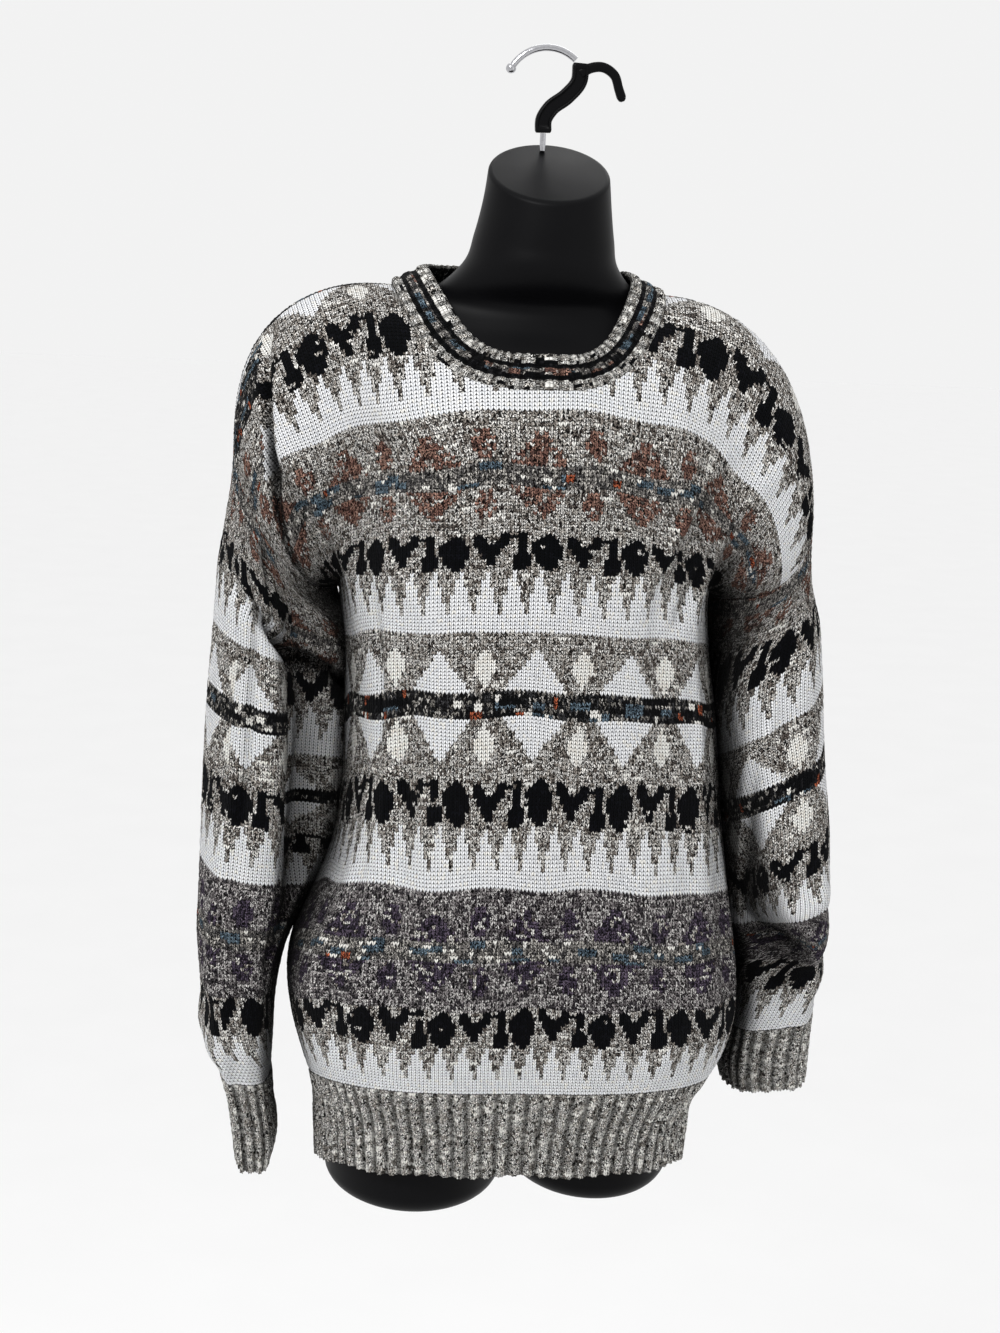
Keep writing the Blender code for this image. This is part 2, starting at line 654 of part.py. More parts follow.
def hem_rib(name, face, look):
    """The ribbed hem of one panel, its ribs raised on the outside."""
    ribs = 40
    across = np.linspace(-HALF_WIDTH, HALF_WIDTH, 2 * ribs + 1)
    down = np.array([RIB_START + 2 * SEAM_GAP, 0.5 * (RIB_START + HEM_END), HEM_END])
    across, down = np.broadcast_arrays(across[None, :], down[:, None])
    grid = body_plain(across, down, face)
    normal = panel_normal(across, down, face)
    normal[0] = level_edge(normal[0])
    close_sides(grid, normal, down, face)
    raised = np.where(np.arange(2 * ribs + 1) % 2, RIB_HEIGHT, 0.0) + np.zeros(down.shape)
    return wall(name, grid, normal, look, raised=raised, rising=True)


def sleeve(name, side, look):
    """A sleeve from its armhole seam down to the cuff."""
    rings = sleeve_rings(side, np.array(SLEEVE_RING_PLACES), LOOP_POINTS)
    normal = grid_normals(rings, True) * -side
    normal[0], run = loop_frame(side)
    rings[0] += run * ARMHOLE_GAP
    normal[-1] = level_edge(normal[-1])
    return wall(name, rings, normal, look, closed=True)


def cuff(name, side, look):
    """A ribbed cuff below its sleeve."""
    points = 2 * CUFF_RIBS
    downs = np.array([SLEEVE_LENGTH + SEAM_GAP, 0.5 * (SLEEVE_LENGTH + CUFF_END), CUFF_END])
    rings = sleeve_rings(side, downs, points)
    normal = grid_normals(rings, True) * -side
    normal[0] = level_edge(normal[0])
    raised = np.where(np.arange(points) % 2, RIB_HEIGHT, 0.0) + np.zeros(rings.shape[:2])
    return wall(name, rings, normal, look, closed=True, raised=raised)


def neckline_point(turn):
    across, down = neckline(turn)
    front = body_plain(across, down, -1)
    back = body_plain(across, down, 1)
    return np.where((np.cos(turn) >= 0)[..., None], front, back)


def neckband(name, look):
    """The band: three soft ridges round the neck, with the knitted ribs across them."""
    count = 2 * BAND_RIBS
    turn = np.arange(count) * 2 * np.pi / count
    edge = neckline_point(turn)
    along = np.roll(edge, -1, axis=0) - np.roll(edge, 1, axis=0)
    along /= np.linalg.norm(along, axis=1, keepdims=True)
    level = np.stack([-np.sin(turn), np.cos(turn), 0 * turn], axis=-1)
    from_front = np.abs(np.mod(turn + np.pi, 2 * np.pi) - np.pi)
    lift = smooth_curve(from_front, BAND_LIFT["turn"], BAND_LIFT["lift"])
    inward = level + np.array([0.0, 0.0, 1.0]) * lift[:, None]
    inward -= along * np.sum(inward * along, axis=1, keepdims=True)
    inward /= np.linalg.norm(inward, axis=1, keepdims=True)
    out = np.cross(along, inward)
    ribs = np.where(np.arange(count) % 2, BAND_RIB_HEIGHT, 0.0)
    mesh = bmesh.new()
    rings = []
    start = 4 * SEAM_GAP
    for k in range(count):
        ring = []
        for share, high in BAND_SECTION:
            rise = high * BAND_THICK + (ribs[k] if high > 0.5 else 0.0) - 0.5 * BAND_THICK
            ring.append(mesh.verts.new(Vector(
                edge[k] + inward[k] * (start + share * BAND_WIDTH) + out[k] * rise)))
        rings.append(ring)
    for k in range(count):
        ring, after = rings[k], rings[(k + 1) % count]
        for j in range(len(ring)):
            n = (j + 1) % len(ring)
            mesh.faces.new([ring[j], ring[n], after[n], after[j]])
    return finish(name, mesh, look)


def form_ring(mesh, middle_x, middle_y, height, wide, front, back, slope, sides):
    ring = []
    for k in range(sides):
        angle = 2 * np.pi * k / sides
        y = middle_y + (back if np.sin(angle) > 0 else front) * np.sin(angle)
        x = middle_x + wide * np.cos(angle)
        ring.append(mesh.verts.new((x, y, height + slope * (y - middle_y))))
    return ring


def loft(mesh, rings):
    """Join rings in order and close both ends."""
    for ring, after in zip(rings, rings[1:]):
        count = len(ring)
        for k in range(count):
            n = (k + 1) % count
            mesh.faces.new([ring[k], ring[n], after[n], after[k]])
    mesh.faces.new(rings[0][::-1])
    mesh.faces.new(rings[-1])


def torso_form(look):
    """One smooth moulded body with a sloping neck cap and two thigh stumps."""
    mesh = bmesh.new()
    rings = []
    for k in range(len(FORM_RINGS["height"])):
        row = {name: column[k] for name, column in FORM_RINGS.items()}
        shift = 0.0045 * smooth_step((row["height"] + 0.20) / 0.11)
        rings.append(form_ring(mesh, shift, row["middle"], row["height"], row["wide"],
                               row["front"], row["back"], row["slope"], FORM_SIDES))
    loft(mesh, rings)
    form = finish("torso_form", mesh, look)
    for label, size in THIGHS.items():
        mesh = bmesh.new()
        rings = []
        for over, share in zip(THIGH_RINGS["over"], THIGH_RINGS["share"]):
            rings.append(form_ring(mesh, size["x"], size["y"], size["bottom"] + over,
                                   size["wide"] * share, size["deep"] * share,
                                   size["deep"] * share, 0.0, THIGH_SIDES))
        loft(mesh, rings)
        thigh = finish("thigh_" + label + "_shape", mesh, look)
        thigh.hide_render = True
        thigh.display_type = "WIRE"
        union = form.modifiers.new("add_thigh_" + label, "BOOLEAN")
        union.operation = "UNION"
        union.object = thigh
    return form


def round_path(name, points, radii, look, sides=10):
    """A solid round bar through points in the XZ plane."""
    mesh = bmesh.new()
    points = np.array(points)
    tangents = np.gradient(points, axis=0)
    tangents /= np.linalg.norm(tangents, axis=1, keepdims=True)
    rings = []
    for point, tangent, radius in zip(points, tangents, radii):
        side = np.array([-tangent[2], 0.0, tangent[0]])
        ring = []
        for k in range(sides):
            angle = 2 * np.pi * k / sides
            offset = side * np.cos(angle) + np.array([0.0, 1.0, 0.0]) * np.sin(angle)
            ring.append(mesh.verts.new(Vector(point + offset * radius)))
        rings.append(ring)
    loft(mesh, rings)
    return finish(name, mesh, look)


def wire_hook(look):
    """Chrome hook: a small ball, then the wire's arc over the crown to the grip."""
    centre_z = WIRE_RADIUS - HOOK_RADIUS
    points = []
    radii = []
    start = np.radians(HOOK_START_ANGLE)
    for k in range(5):
        turn = -BALL_RADIUS + 2 * BALL_RADIUS * (k / 5.0)
        angle = start - turn / HOOK_RADIUS
        points.append((HOOK_SHIFT + HOOK_RADIUS * np.cos(angle), 0.0,
                       centre_z + HOOK_RADIUS * np.sin(angle)))
        radii.append(max(np.sqrt(max(BALL_RADIUS ** 2 - turn ** 2, 0.0)), 0.0012))
    first = start - BALL_RADIUS * 0.75 / HOOK_RADIUS
    for angle in np.linspace(first, np.radians(HOOK_END_ANGLE), 16):
        points.append((HOOK_SHIFT + HOOK_RADIUS * np.cos(angle), 0.0,
                       centre_z + HOOK_RADIUS * np.sin(angle)))
        radii.append(WIRE_RADIUS)
    return round_path("hook_wire", points, radii, look)


def outline_plate(name, centre_line, widths, depth, look):
    """A flat bar in the XZ plane that follows a centre line, with soft corners."""
    line = np.array(centre_line)
    tangents = np.gradient(line, axis=0)
    tangents /= np.linalg.norm(tangents, axis=1, keepdims=True)
    mesh = bmesh.new()
    rings = []
    soft = 0.0014
    for point, tangent, width in zip(line, tangents, widths):
        side = np.array([-tangent[1], tangent[0]])
        half = 0.5 * width
        ring = []
        for across, over in ((-half, -0.5 * depth + soft), (-half + soft, -0.5 * depth),
                             (half - soft, -0.5 * depth), (half, -0.5 * depth + soft),
                             (half, 0.5 * depth - soft), (half - soft, 0.5 * depth),
                             (-half + soft, 0.5 * depth), (-half, 0.5 * depth - soft)):
            place = point + side * across
            ring.append(mesh.verts.new((place[0], over, place[1])))
        rings.append(ring)
    loft(mesh, rings)
    return finish(name, mesh, look)


def curve_through(points, count):
    """Points at equal shares along a smooth line through a few places."""
    points = np.array(points)
    at = np.concatenate([[0.0], np.cumsum(np.linalg.norm(np.diff(points, axis=0), axis=1))])
    wanted = np.linspace(0.0, at[-1], count)
    return np.stack([smooth_curve(wanted, at, points[:, 0]),
                     smooth_curve(wanted, at, points[:, 1])], axis=-1)


def grip(look):
    """The black plastic grip: a flat S with a channel down each face, and its side hook."""
    line = curve_through(GRIP_LINE, 12)
    bar = outline_plate("hook_grip", line, [GRIP_WIDTH] * len(line), GRIP_DEPTH, look)
    inside = line[1:-1]
    for face, label in ((-1, "front"), (1, "back")):
        width = GRIP_WIDTH - 2 * GRIP_RIM
        cutter = outline_plate("grip_channel_" + label, inside, [width] * len(inside),
                               GRIP_DEPTH, look)
        cutter.location.y = face * (GRIP_DEPTH - GRIP_CHANNEL)
        cutter.hide_render = True
        cutter.display_type = "WIRE"
        cut = bar.modifiers.new("cut_" + label, "BOOLEAN")
        cut.operation = "DIFFERENCE"
        cut.object = cutter
    side_line = curve_through(SIDE_HOOK_LINE, 10)
    widths = np.interp(np.linspace(0, 1, 10), [0.0, 0.75, 0.93, 1.0], [1.0, 0.86, 0.90, 0.55])
    side = outline_plate("side_hook_shape", side_line, widths * SIDE_HOOK_WIDTH,
                         SIDE_HOOK_DEPTH, look)
    side.hide_render = True
    side.display_type = "WIRE"
    union = bar.modifiers.new("add_side_hook", "BOOLEAN")
    union.operation = "UNION"
    union.object = side
    return bar


def hanging_rod(look):
    """The thin rod between the grip and the neck cap."""
    points = [(ROD_X, 0.0, ROD_TOP), (ROD_X, 0.0, 0.5 * (ROD_TOP + ROD_FOOT)), (ROD_X, 0.0, ROD_FOOT)]
    return round_path("hook_rod", points, [ROD_RADIUS] * 3, look)


def main():
    clear_scene()
    knit = material("knit_marl", (0.22, 0.21, 0.21), 0.95)
    rib_knit = material("knit_rib", (0.30, 0.29, 0.28), 0.95)
    band_knit = material("knit_band", (0.10, 0.10, 0.11), 0.95)
    plastic = material("black_plastic", (0.012, 0.012, 0.013), 0.35)
    chrome = material("chrome", (0.80, 0.80, 0.82), 0.12, 1.0)
    frame = bpy.data.objects.new("form_frame", None)
    bpy.context.scene.collection.objects.link(frame)
    frame.location.z = -FORM_DROP
    worn = [
        panel("front", -1, 9, 11, knit),
        panel("back", 1, 9, 8, knit),
        hem_rib("hem_rib_front", -1, rib_knit),
        hem_rib("hem_rib_back", 1, rib_knit),
        sleeve("sleeve_right", -1, knit),
        sleeve("sleeve_left", 1, knit),
        cuff("cuff_right", -1, rib_knit),
        cuff("cuff_left", 1, rib_knit),
        neckband("neckband", band_knit),
        torso_form(plastic),
    ]
    for piece in worn:
        piece.parent = frame
    for shape in bpy.data.objects:
        if shape.name.startswith("thigh_"):
            shape.parent = frame
    wire_hook(chrome)
    grip(plastic)
    hanging_rod(chrome)


main()
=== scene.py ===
# A fair isle pullover on a smooth hanging torso form, knitted stitch by stitch.
# Metres, +Z up, the front towards -Y. The frame's origin is where the chrome hook rests.
# p runs across a knitted piece from its centre, d runs down it from the shoulder,
# v runs down a sleeve from the armhole seam. All three are lengths of flat knitting.

import math

import bmesh
import bpy
import numpy as np
from mathutils import Matrix, Vector


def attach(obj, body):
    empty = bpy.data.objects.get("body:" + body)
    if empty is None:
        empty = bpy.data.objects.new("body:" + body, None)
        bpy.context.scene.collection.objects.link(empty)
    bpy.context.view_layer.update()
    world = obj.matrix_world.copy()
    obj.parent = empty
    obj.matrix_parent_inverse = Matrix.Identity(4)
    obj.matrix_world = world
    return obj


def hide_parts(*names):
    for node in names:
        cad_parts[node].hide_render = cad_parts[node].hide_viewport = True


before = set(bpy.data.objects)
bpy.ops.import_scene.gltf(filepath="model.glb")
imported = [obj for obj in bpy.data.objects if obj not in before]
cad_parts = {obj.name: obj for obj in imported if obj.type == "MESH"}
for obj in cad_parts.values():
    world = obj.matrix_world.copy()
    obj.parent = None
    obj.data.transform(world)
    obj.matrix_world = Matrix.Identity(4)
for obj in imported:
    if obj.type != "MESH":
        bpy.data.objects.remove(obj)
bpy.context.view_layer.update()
dice = np.random.default_rng(41)

# Sizes of the flat knitting
HALF_WIDTH = 0.290
ARMHOLE_DEPTH = 0.252
RIB_START = 0.651
HEM_END = 0.727
SLEEVE_LENGTH = 0.521
CUFF_END = 0.593
NECK_HALF_WIDTH = 0.098
NECK_FRONT_DEPTH = 0.118
NECK_BACK_DEPTH = 0.046
NECK_FULLNESS = 0.78

# How the rows hang
SIDE_DROOP = 0.038
BACK_DROOP = 0.022
DROOP_POWER = 1.6
SECTION_POWER = 2.15
CENTRE_TURN = 6.8
CHEST_EASE = 0.23
CHEST_REACH = 0.088
BACK_REACH = 0.080

# The shoulder line: from the neck point out and over the tip
NECK_POINT_HEIGHT = -0.163
SHOULDER_START = 0.090
SHOULDERS = {
    -1: {"start": -0.166, "reach": 0.133, "drop": 0.126, "power": 2.6},
    1: {"start": -0.169, "reach": 0.132, "drop": 0.160, "power": 2.25},
}


def table(names, rows):
    """Columns of a table by name."""
    return {name: np.array(column) for name, column in zip(names.split(), zip(*rows))}


SLEEVE_SECTION = "height inner fold outer step front back"
SLEEVE_ROW = "down outer inner"
FOLD = "across down height wide long lean"

# Height of each row of knitting at the centre of the front
ROW_HEIGHTS = table("down height", [
    (0.1300, -0.248),
    (0.2218, -0.332),
    (0.2974, -0.4075),
    (0.3528, -0.463),
    (0.4081, -0.519),
    (0.4837, -0.602),
    (0.5755, -0.692),
    (0.6511, -0.760),
    (0.7270, -0.834),
])

# Half widths and depths of the body by height
BODY = table("height left right front back", [
    (-0.880, 0.147, 0.153, 0.120, 0.106),
    (-0.838, 0.149, 0.155, 0.122, 0.108),
    (-0.806, 0.151, 0.159, 0.126, 0.112),
    (-0.772, 0.162, 0.180, 0.134, 0.122),
    (-0.738, 0.171, 0.189, 0.138, 0.128),
    (-0.705, 0.174, 0.188, 0.138, 0.128),
    (-0.672, 0.168, 0.183, 0.135, 0.124),
    (-0.640, 0.154, 0.178, 0.132, 0.120),
    (-0.600, 0.140, 0.172, 0.128, 0.115),
    (-0.560, 0.135, 0.166, 0.125, 0.112),
    (-0.490, 0.134, 0.158, 0.122, 0.109),
    (-0.440, 0.136, 0.1495, 0.123, 0.110),
    (-0.400, 0.141, 0.1460, 0.125, 0.112),
    (-0.362, 0.148, 0.150, 0.125, 0.112),
    (-0.330, 0.152, 0.153, 0.124, 0.111),
])

# Sleeve sections by height, as distances from the middle of the body and depths:
# inner edge, fold edge between the set back part and the front face, outer edge,
# then the set back face, the front face and the back
SLEEVES = {
    -1: table(SLEEVE_SECTION, [
        (-0.900, 0.186, 0.198, 0.210, -0.030, -0.030, 0.040),
        (-0.876, 0.185, 0.198, 0.212, -0.032, -0.032, 0.042),
        (-0.850, 0.180, 0.198, 0.215, -0.036, -0.036, 0.046),
        (-0.820, 0.184, 0.202, 0.220, -0.034, -0.034, 0.046),
        (-0.800, 0.185, 0.205, 0.226, -0.036, -0.036, 0.050),
        (-0.770, 0.184, 0.207, 0.239, -0.044, -0.044, 0.064),
        (-0.727, 0.182, 0.205, 0.243, -0.050, -0.050, 0.072),
        (-0.690, 0.1745, 0.192, 0.244, -0.042, -0.052, 0.075),
        (-0.645, 0.1560, 0.182, 0.244, -0.022, -0.054, 0.076),
        (-0.600, 0.1385, 0.179, 0.243, -0.014, -0.056, 0.076),
        (-0.565, 0.1325, 0.178, 0.242, -0.012, -0.058, 0.076),
        (-0.490, 0.1270, 0.178, 0.239, -0.016, -0.062, 0.076),
        (-0.440, 0.1275, 0.180, 0.235, -0.024, -0.066, 0.076),
        (-0.360, 0.141, 0.185, 0.229, -0.050, -0.066, 0.074),
        (-0.290, 0.158, 0.190, 0.222, -0.060, -0.060, 0.070),
    ]),
    1: table(SLEEVE_SECTION, [
        (-0.850, 0.192, 0.222, 0.256, -0.020, -0.020, 0.052),
        (-0.812, 0.191, 0.222, 0.258, -0.022, -0.022, 0.054),
        (-0.785, 0.187, 0.222, 0.259, -0.022, -0.022, 0.056),
        (-0.758, 0.190, 0.225, 0.260, -0.024, -0.024, 0.060),
        (-0.735, 0.1925, 0.228, 0.263, -0.028, -0.028, 0.068),
        (-0.700, 0.1925, 0.236, 0.264, -0.020, -0.036, 0.074),
        (-0.672, 0.188, 0.232, 0.262, -0.010, -0.062, 0.076),
        (-0.640, 0.183, 0.214, 0.258, -0.008, -0.066, 0.076),
        (-0.600, 0.1775, 0.196, 0.254, -0.014, -0.068, 0.076),
        (-0.551, 0.170, 0.186, 0.248, -0.040, -0.068, 0.076),
        (-0.486, 0.1620, 0.190, 0.240, -0.066, -0.066, 0.076),
        (-0.440, 0.1560, 0.190, 0.234, -0.066, -0.066, 0.076),
        (-0.400, 0.157, 0.190, 0.228, -0.064, -0.064, 0.074),
        (-0.325, 0.155, 0.185, 0.222, -0.060, -0.060, 0.070),
    ]),
}

# Height of each sleeve row at the outer and the inner edge
SLEEVE_ROWS = {
    -1: table(SLEEVE_ROW, [
        (0.000, -0.292, -0.400),
        (0.167, -0.455, -0.475),
        (0.278, -0.558, -0.568),
        (0.354, -0.630, -0.637),
        (0.446, -0.722, -0.726),
        (0.521, -0.795, -0.799),
        (0.593, -0.872, -0.876),
    ]),
    1: table(SLEEVE_ROW, [
        (0.000, -0.329, -0.400),
        (0.167, -0.490, -0.510),
        (0.278, -0.585, -0.600),
        (0.354, -0.640, -0.652),
        (0.446, -0.690, -0.703),
        (0.521, -0.745, -0.760),
        (0.593, -0.803, -0.812),
    ]),
}
SLEEVE_BLEND = 0.100
FOLD_SOFTNESS = 0.006
UP = np.array([0.0, 0.0, 1.0])
# How far the dressed form hangs below its tables' heights
HANG = 0.0045 * UP

# The largest folds of the body: place across and down, how high, and their reach
# either way along a line that leans by so much across for each metre down
BODY_FOLDS = {
    "front": table(FOLD, [
        (-0.137, 0.420, 0.0070, 0.016, 0.130, -0.02),
        (-0.112, 0.430, -0.0040, 0.016, 0.120, 0.05),
        (-0.205, 0.205, 0.0060, 0.020, 0.070, 0.30),
        (0.150, 0.215, -0.0050, 0.018, 0.060, -0.45),
        (0.178, 0.230, 0.0060, 0.018, 0.070, -0.30),
        (0.165, 0.560, 0.0050, 0.022, 0.100, 0.10),
        (-0.190, 0.575, 0.0060, 0.022, 0.090, -0.15),
        (-0.060, 0.590, 0.0040, 0.026, 0.060, 0.05),
        (0.070, 0.600, 0.0035, 0.030, 0.060, 0.00),
    ]),
    "back": table(FOLD, [
        (-0.120, 0.430, 0.0060, 0.018, 0.120, 0.10),
        (0.130, 0.400, 0.0065, 0.018, 0.130, -0.08),
        (-0.040, 0.520, -0.0040, 0.024, 0.110, 0.06),
        (0.060, 0.560, 0.0045, 0.026, 0.090, 0.00),
        (0.200, 0.560, 0.0050, 0.022, 0.090, 0.12),
        (-0.195, 0.560, 0.0050, 0.022, 0.090, -0.10),
    ]),
}


def smooth_step(value):
    value = np.clip(value, 0.0, 1.0)
    return value * value * (3.0 - 2.0 * value)


def smooth_curve(at, places, values):
    """A smooth curve through a table's rows, by cubic pieces."""
    order = np.argsort(places)
    places = places[order]
    values = values[order]
    slopes = np.gradient(values, places)
    at = np.clip(np.asarray(at, dtype=float), places[0], places[-1])
    piece = np.clip(np.searchsorted(places, at) - 1, 0, len(places) - 2)
    span = places[piece + 1] - places[piece]
    t = (at - places[piece]) / span
    return ((1 + 2 * t) * (1 - t) ** 2 * values[piece]
            + t * (1 - t) ** 2 * span * slopes[piece]
            + t * t * (3 - 2 * t) * values[piece + 1]
            + t * t * (t - 1) * span * slopes[piece + 1])


def blend(a, b, share):
    return a + (b - a) * share


def running(steps):
    """Sums of steps along the first axis, from zero."""
    return np.concatenate([np.zeros((1,) + steps.shape[1:]), np.cumsum(steps, axis=0)])


def unit(vectors):
    """Vectors of length one."""
    return vectors / np.maximum(np.linalg.norm(vectors, axis=-1, keepdims=True), 1e-9)


def corners(grid):
    """The four corners of every cell of a grid, in order round the cell."""
    return grid[:-1, :-1], grid[:-1, 1:], grid[1:, 1:], grid[1:, :-1]


def add_object(name, data):
    item = bpy.data.objects.new(name, data)
    bpy.context.scene.collection.objects.link(item)
    return item


def row_height(down):
    """Height of a row at the centre of the front."""
    return smooth_curve(down, ROW_HEIGHTS["down"], ROW_HEIGHTS["height"])


def body_turn(across):
    """Angle round the body of a column of knitting, 0 at the centre, a quarter turn at the side."""
    excess = CENTRE_TURN * HALF_WIDTH - np.pi / 2
    return CENTRE_TURN * across - excess * (across / HALF_WIDTH) ** 3


def body_section(across, height, face):
    """A point of the body's section at a height. face is -1 for the front, 1 for the back."""
    turn = body_turn(np.abs(across))
    left = smooth_curve(height, BODY["height"], BODY["left"])
    right = smooth_curve(height, BODY["height"], BODY["right"])
    wide = np.where(across < 0, left, right)
    deep = smooth_curve(height, BODY["height"], BODY["front" if face < 0 else "back"])
    radius = ((np.sin(turn) / wide) ** SECTION_POWER
              + (np.abs(np.cos(turn)) / deep) ** SECTION_POWER) ** (-1.0 / SECTION_POWER)
    return np.stack([np.sign(across) * radius * np.sin(turn),
                     face * radius * np.cos(turn), height + 0 * radius], axis=-1)


def lower_body(across, down, face):
    """The body below the underarms."""
    share = (np.abs(across) / HALF_WIDTH) ** DROOP_POWER
    centre = 0.0 if face < 0 else BACK_DROOP
    height = row_height(down) - blend(centre, SIDE_DROOP, share)
    return body_section(across, height, face)


def shoulder_line(across):
    """The top edge of the shoulder above a column of knitting."""
    side = np.where(across < 0, -1, 1)
    size = np.abs(across)
    result = np.zeros(np.shape(across) + (3,))
    for sign, shape in SHOULDERS.items():
        angle = np.linspace(0.0, np.pi / 2, 60)
        power = 2.0 / shape["power"]
        x = SHOULDER_START + shape["reach"] * np.sin(angle) ** power
        z = shape["start"] - shape["drop"] * (1.0 - np.cos(angle) ** power)
        length = running(np.hypot(np.diff(x), np.diff(z)))
        share = np.clip((size - SHOULDER_START) / (HALF_WIDTH - SHOULDER_START), 0.0, 1.0)
        outer_x = np.interp(share * length[-1], length, x)
        outer_z = np.interp(share * length[-1], length, z)
        neck = size < SHOULDER_START
        inner_z = blend(NECK_POINT_HEIGHT, shape["start"], smooth_step(size / SHOULDER_START))
        x = np.where(neck, size, outer_x)
        z = np.where(neck, inner_z, outer_z)
        mine = side == sign
        result[mine] = np.stack([sign * x, 0 * x, z], axis=-1)[mine]
    return result


def upper_body(across, down, face):
    """The body from the shoulder line to the underarms, over the chest or the back."""
    top = shoulder_line(across)
    low = lower_body(across, np.full(np.shape(across), ARMHOLE_DEPTH), face)
    start = 0.130
    cap = smooth_step((np.abs(across) - start) / (HALF_WIDTH - start))
    reach = CHEST_REACH if face < 0 else BACK_REACH
    lean_top = np.stack([0 * cap, face * blend(reach, 0.088, cap), -0.016 * cap], axis=-1)
    lean_low = np.stack([0.042 * cap ** 2 * np.sign(across), face * 0.078 * cap,
                         blend(0.130, -0.004, cap)], axis=-1)
    points = [top, top + lean_top, low + lean_low, low]
    steps = np.linspace(0.0, 1.0, 33).reshape((-1,) + (1,) * top.ndim)
    path = ((1 - steps) ** 3 * points[0] + 3 * steps * (1 - steps) ** 2 * points[1]
            + 3 * steps ** 2 * (1 - steps) * points[2] + steps ** 3 * points[3])
    length = running(np.linalg.norm(np.diff(path, axis=0), axis=-1))
    share = np.clip(down / ARMHOLE_DEPTH, 0.0, 1.0)
    share = share + CHEST_EASE * (1 - cap) * share * (1 - share)
    wanted = share * length[-1]
    result = np.zeros(top.shape)
    for k in range(len(path) - 1):
        here = (wanted >= length[k]) & ((wanted < length[k + 1]) | (k == len(path) - 2))
        t = (wanted - length[k]) / np.maximum(length[k + 1] - length[k], 1e-9)
        point = path[k] + (path[k + 1] - path[k]) * np.clip(t, 0.0, 1.0)[..., None]
        result[here] = point[here]
    return result


def body_plain(across, down, face):
    across, down = np.broadcast_arrays(np.asarray(across, float), np.asarray(down, float))
    upper = upper_body(across, down, face)
    lower = lower_body(across, np.maximum(down, ARMHOLE_DEPTH), face)
    return np.where((down < ARMHOLE_DEPTH)[..., None], upper, lower)


def fold_sum(across, down, folds):
    """The folds of a table added up."""
    lift = np.zeros(np.shape(across))
    for k in range(len(folds["across"])):
        off = down - folds["down"][k]
        beside = across - folds["across"][k] - folds["lean"][k] * off
        lift = lift + folds["height"][k] * np.exp(-(beside / folds["wide"][k]) ** 2
                                                  - (off / folds["long"][k]) ** 2)
    return lift


def fold_height(across, down, folds):
    """How far the largest folds lift the cloth."""
    edge = smooth_step((HALF_WIDTH - np.abs(across)) / 0.03)
    top = smooth_step(down / 0.05)
    rib = smooth_step((RIB_START - down) / 0.08)
    return fold_sum(across, down, folds) * edge * top * rib


def surface_normal(place, across, down, out):
    """Outward normal of a surface given as a function of two lengths."""
    step = 0.002
    side = place(across + step, down) - place(across - step, down)
    run = place(across, down + step) - place(across, down - step)
    return unit(np.cross(side, run) * out)


def body_point(across, down, face):
    """A point of the body's outer face with its largest folds."""
    across, down = np.broadcast_arrays(np.asarray(across, float), np.asarray(down, float))
    folds = BODY_FOLDS["front" if face < 0 else "back"]
    lift = fold_height(across, down, folds)
    inner = np.clip(across, -HALF_WIDTH + 0.003, HALF_WIDTH - 0.003)
    normal = surface_normal(lambda p, d: body_plain(p, d, face), inner,
                            np.clip(down, 0.003, HEM_END - 0.003), face)
    return body_plain(across, down, face) + normal * lift[..., None]


def armhole_loop(side, around):
    """The armhole seam: 0 at the underarm, a quarter at the front, a half at the top."""
    around = np.mod(around, 1.0)
    front = body_plain(side * HALF_WIDTH, ARMHOLE_DEPTH * (1 - 2 * np.minimum(around, 0.5)), -1)
    back = body_plain(side * HALF_WIDTH, ARMHOLE_DEPTH * (2 * np.maximum(around, 0.5) - 1), 1)
    return np.where((around < 0.5)[..., None], front, back)


# Knitting gauge: one stitch is two slanting legs
STITCH = 0.0035
LEG_SLANT = 0.0009
BODY_STITCHES = 166
BODY_ROWS = 241
SLEEVE_STITCHES = 146
SLEEVE_ROWS_COUNT = 180
SLEEVE_STRETCH = 0.92
STITCH_RELIEF = 0.00045
STITCH_UNEVENNESS = 0.00016
SMALLEST_LEG = 1e-5
# How much wider than flat the stitches stand at the centre of the chest, and low on the body
WIDE_STITCHES = 1.075
NARROW_STITCHES = 0.85

# Seam and pattern places on the body
LEFT_TIP_SAG = 0.011
LEFT_TIP = 0.150
RIGHT_TIP_RISE = 0.016
RIGHT_TIP = 0.190
ROW_WANDER = 0.0030
# How far the neck opening is pulled, where most, and above which height
NECK_PULL = 0.011
NECK_PULL_PLACE = -0.085
NECK_PULL_FLOOR = -0.300
# The groove beside the wearer's right armhole, beyond which the front turns to the side
GROOVE_ACROSS = -0.218
GROOVE_LEAN = -0.43
# Rows by which a tucked strip inside the wearer's right sleeve hangs lower, and how many
# metres lower the rows of each sleeve lie at its inner edge
TUCK_ROWS = 31
TUCK_STITCHES = 31
SLEEVE_TILT = {-1: 0.012, 1: 0.050}
TILT_STARTS = 0.04
TILT_ENDS = 0.42
LEVEL_PLACE = 0.74
# The crease down that sleeve, past which its pattern is out of step by some stitches
CREASE_STITCH = 54
CREASE_SHIFT = 17


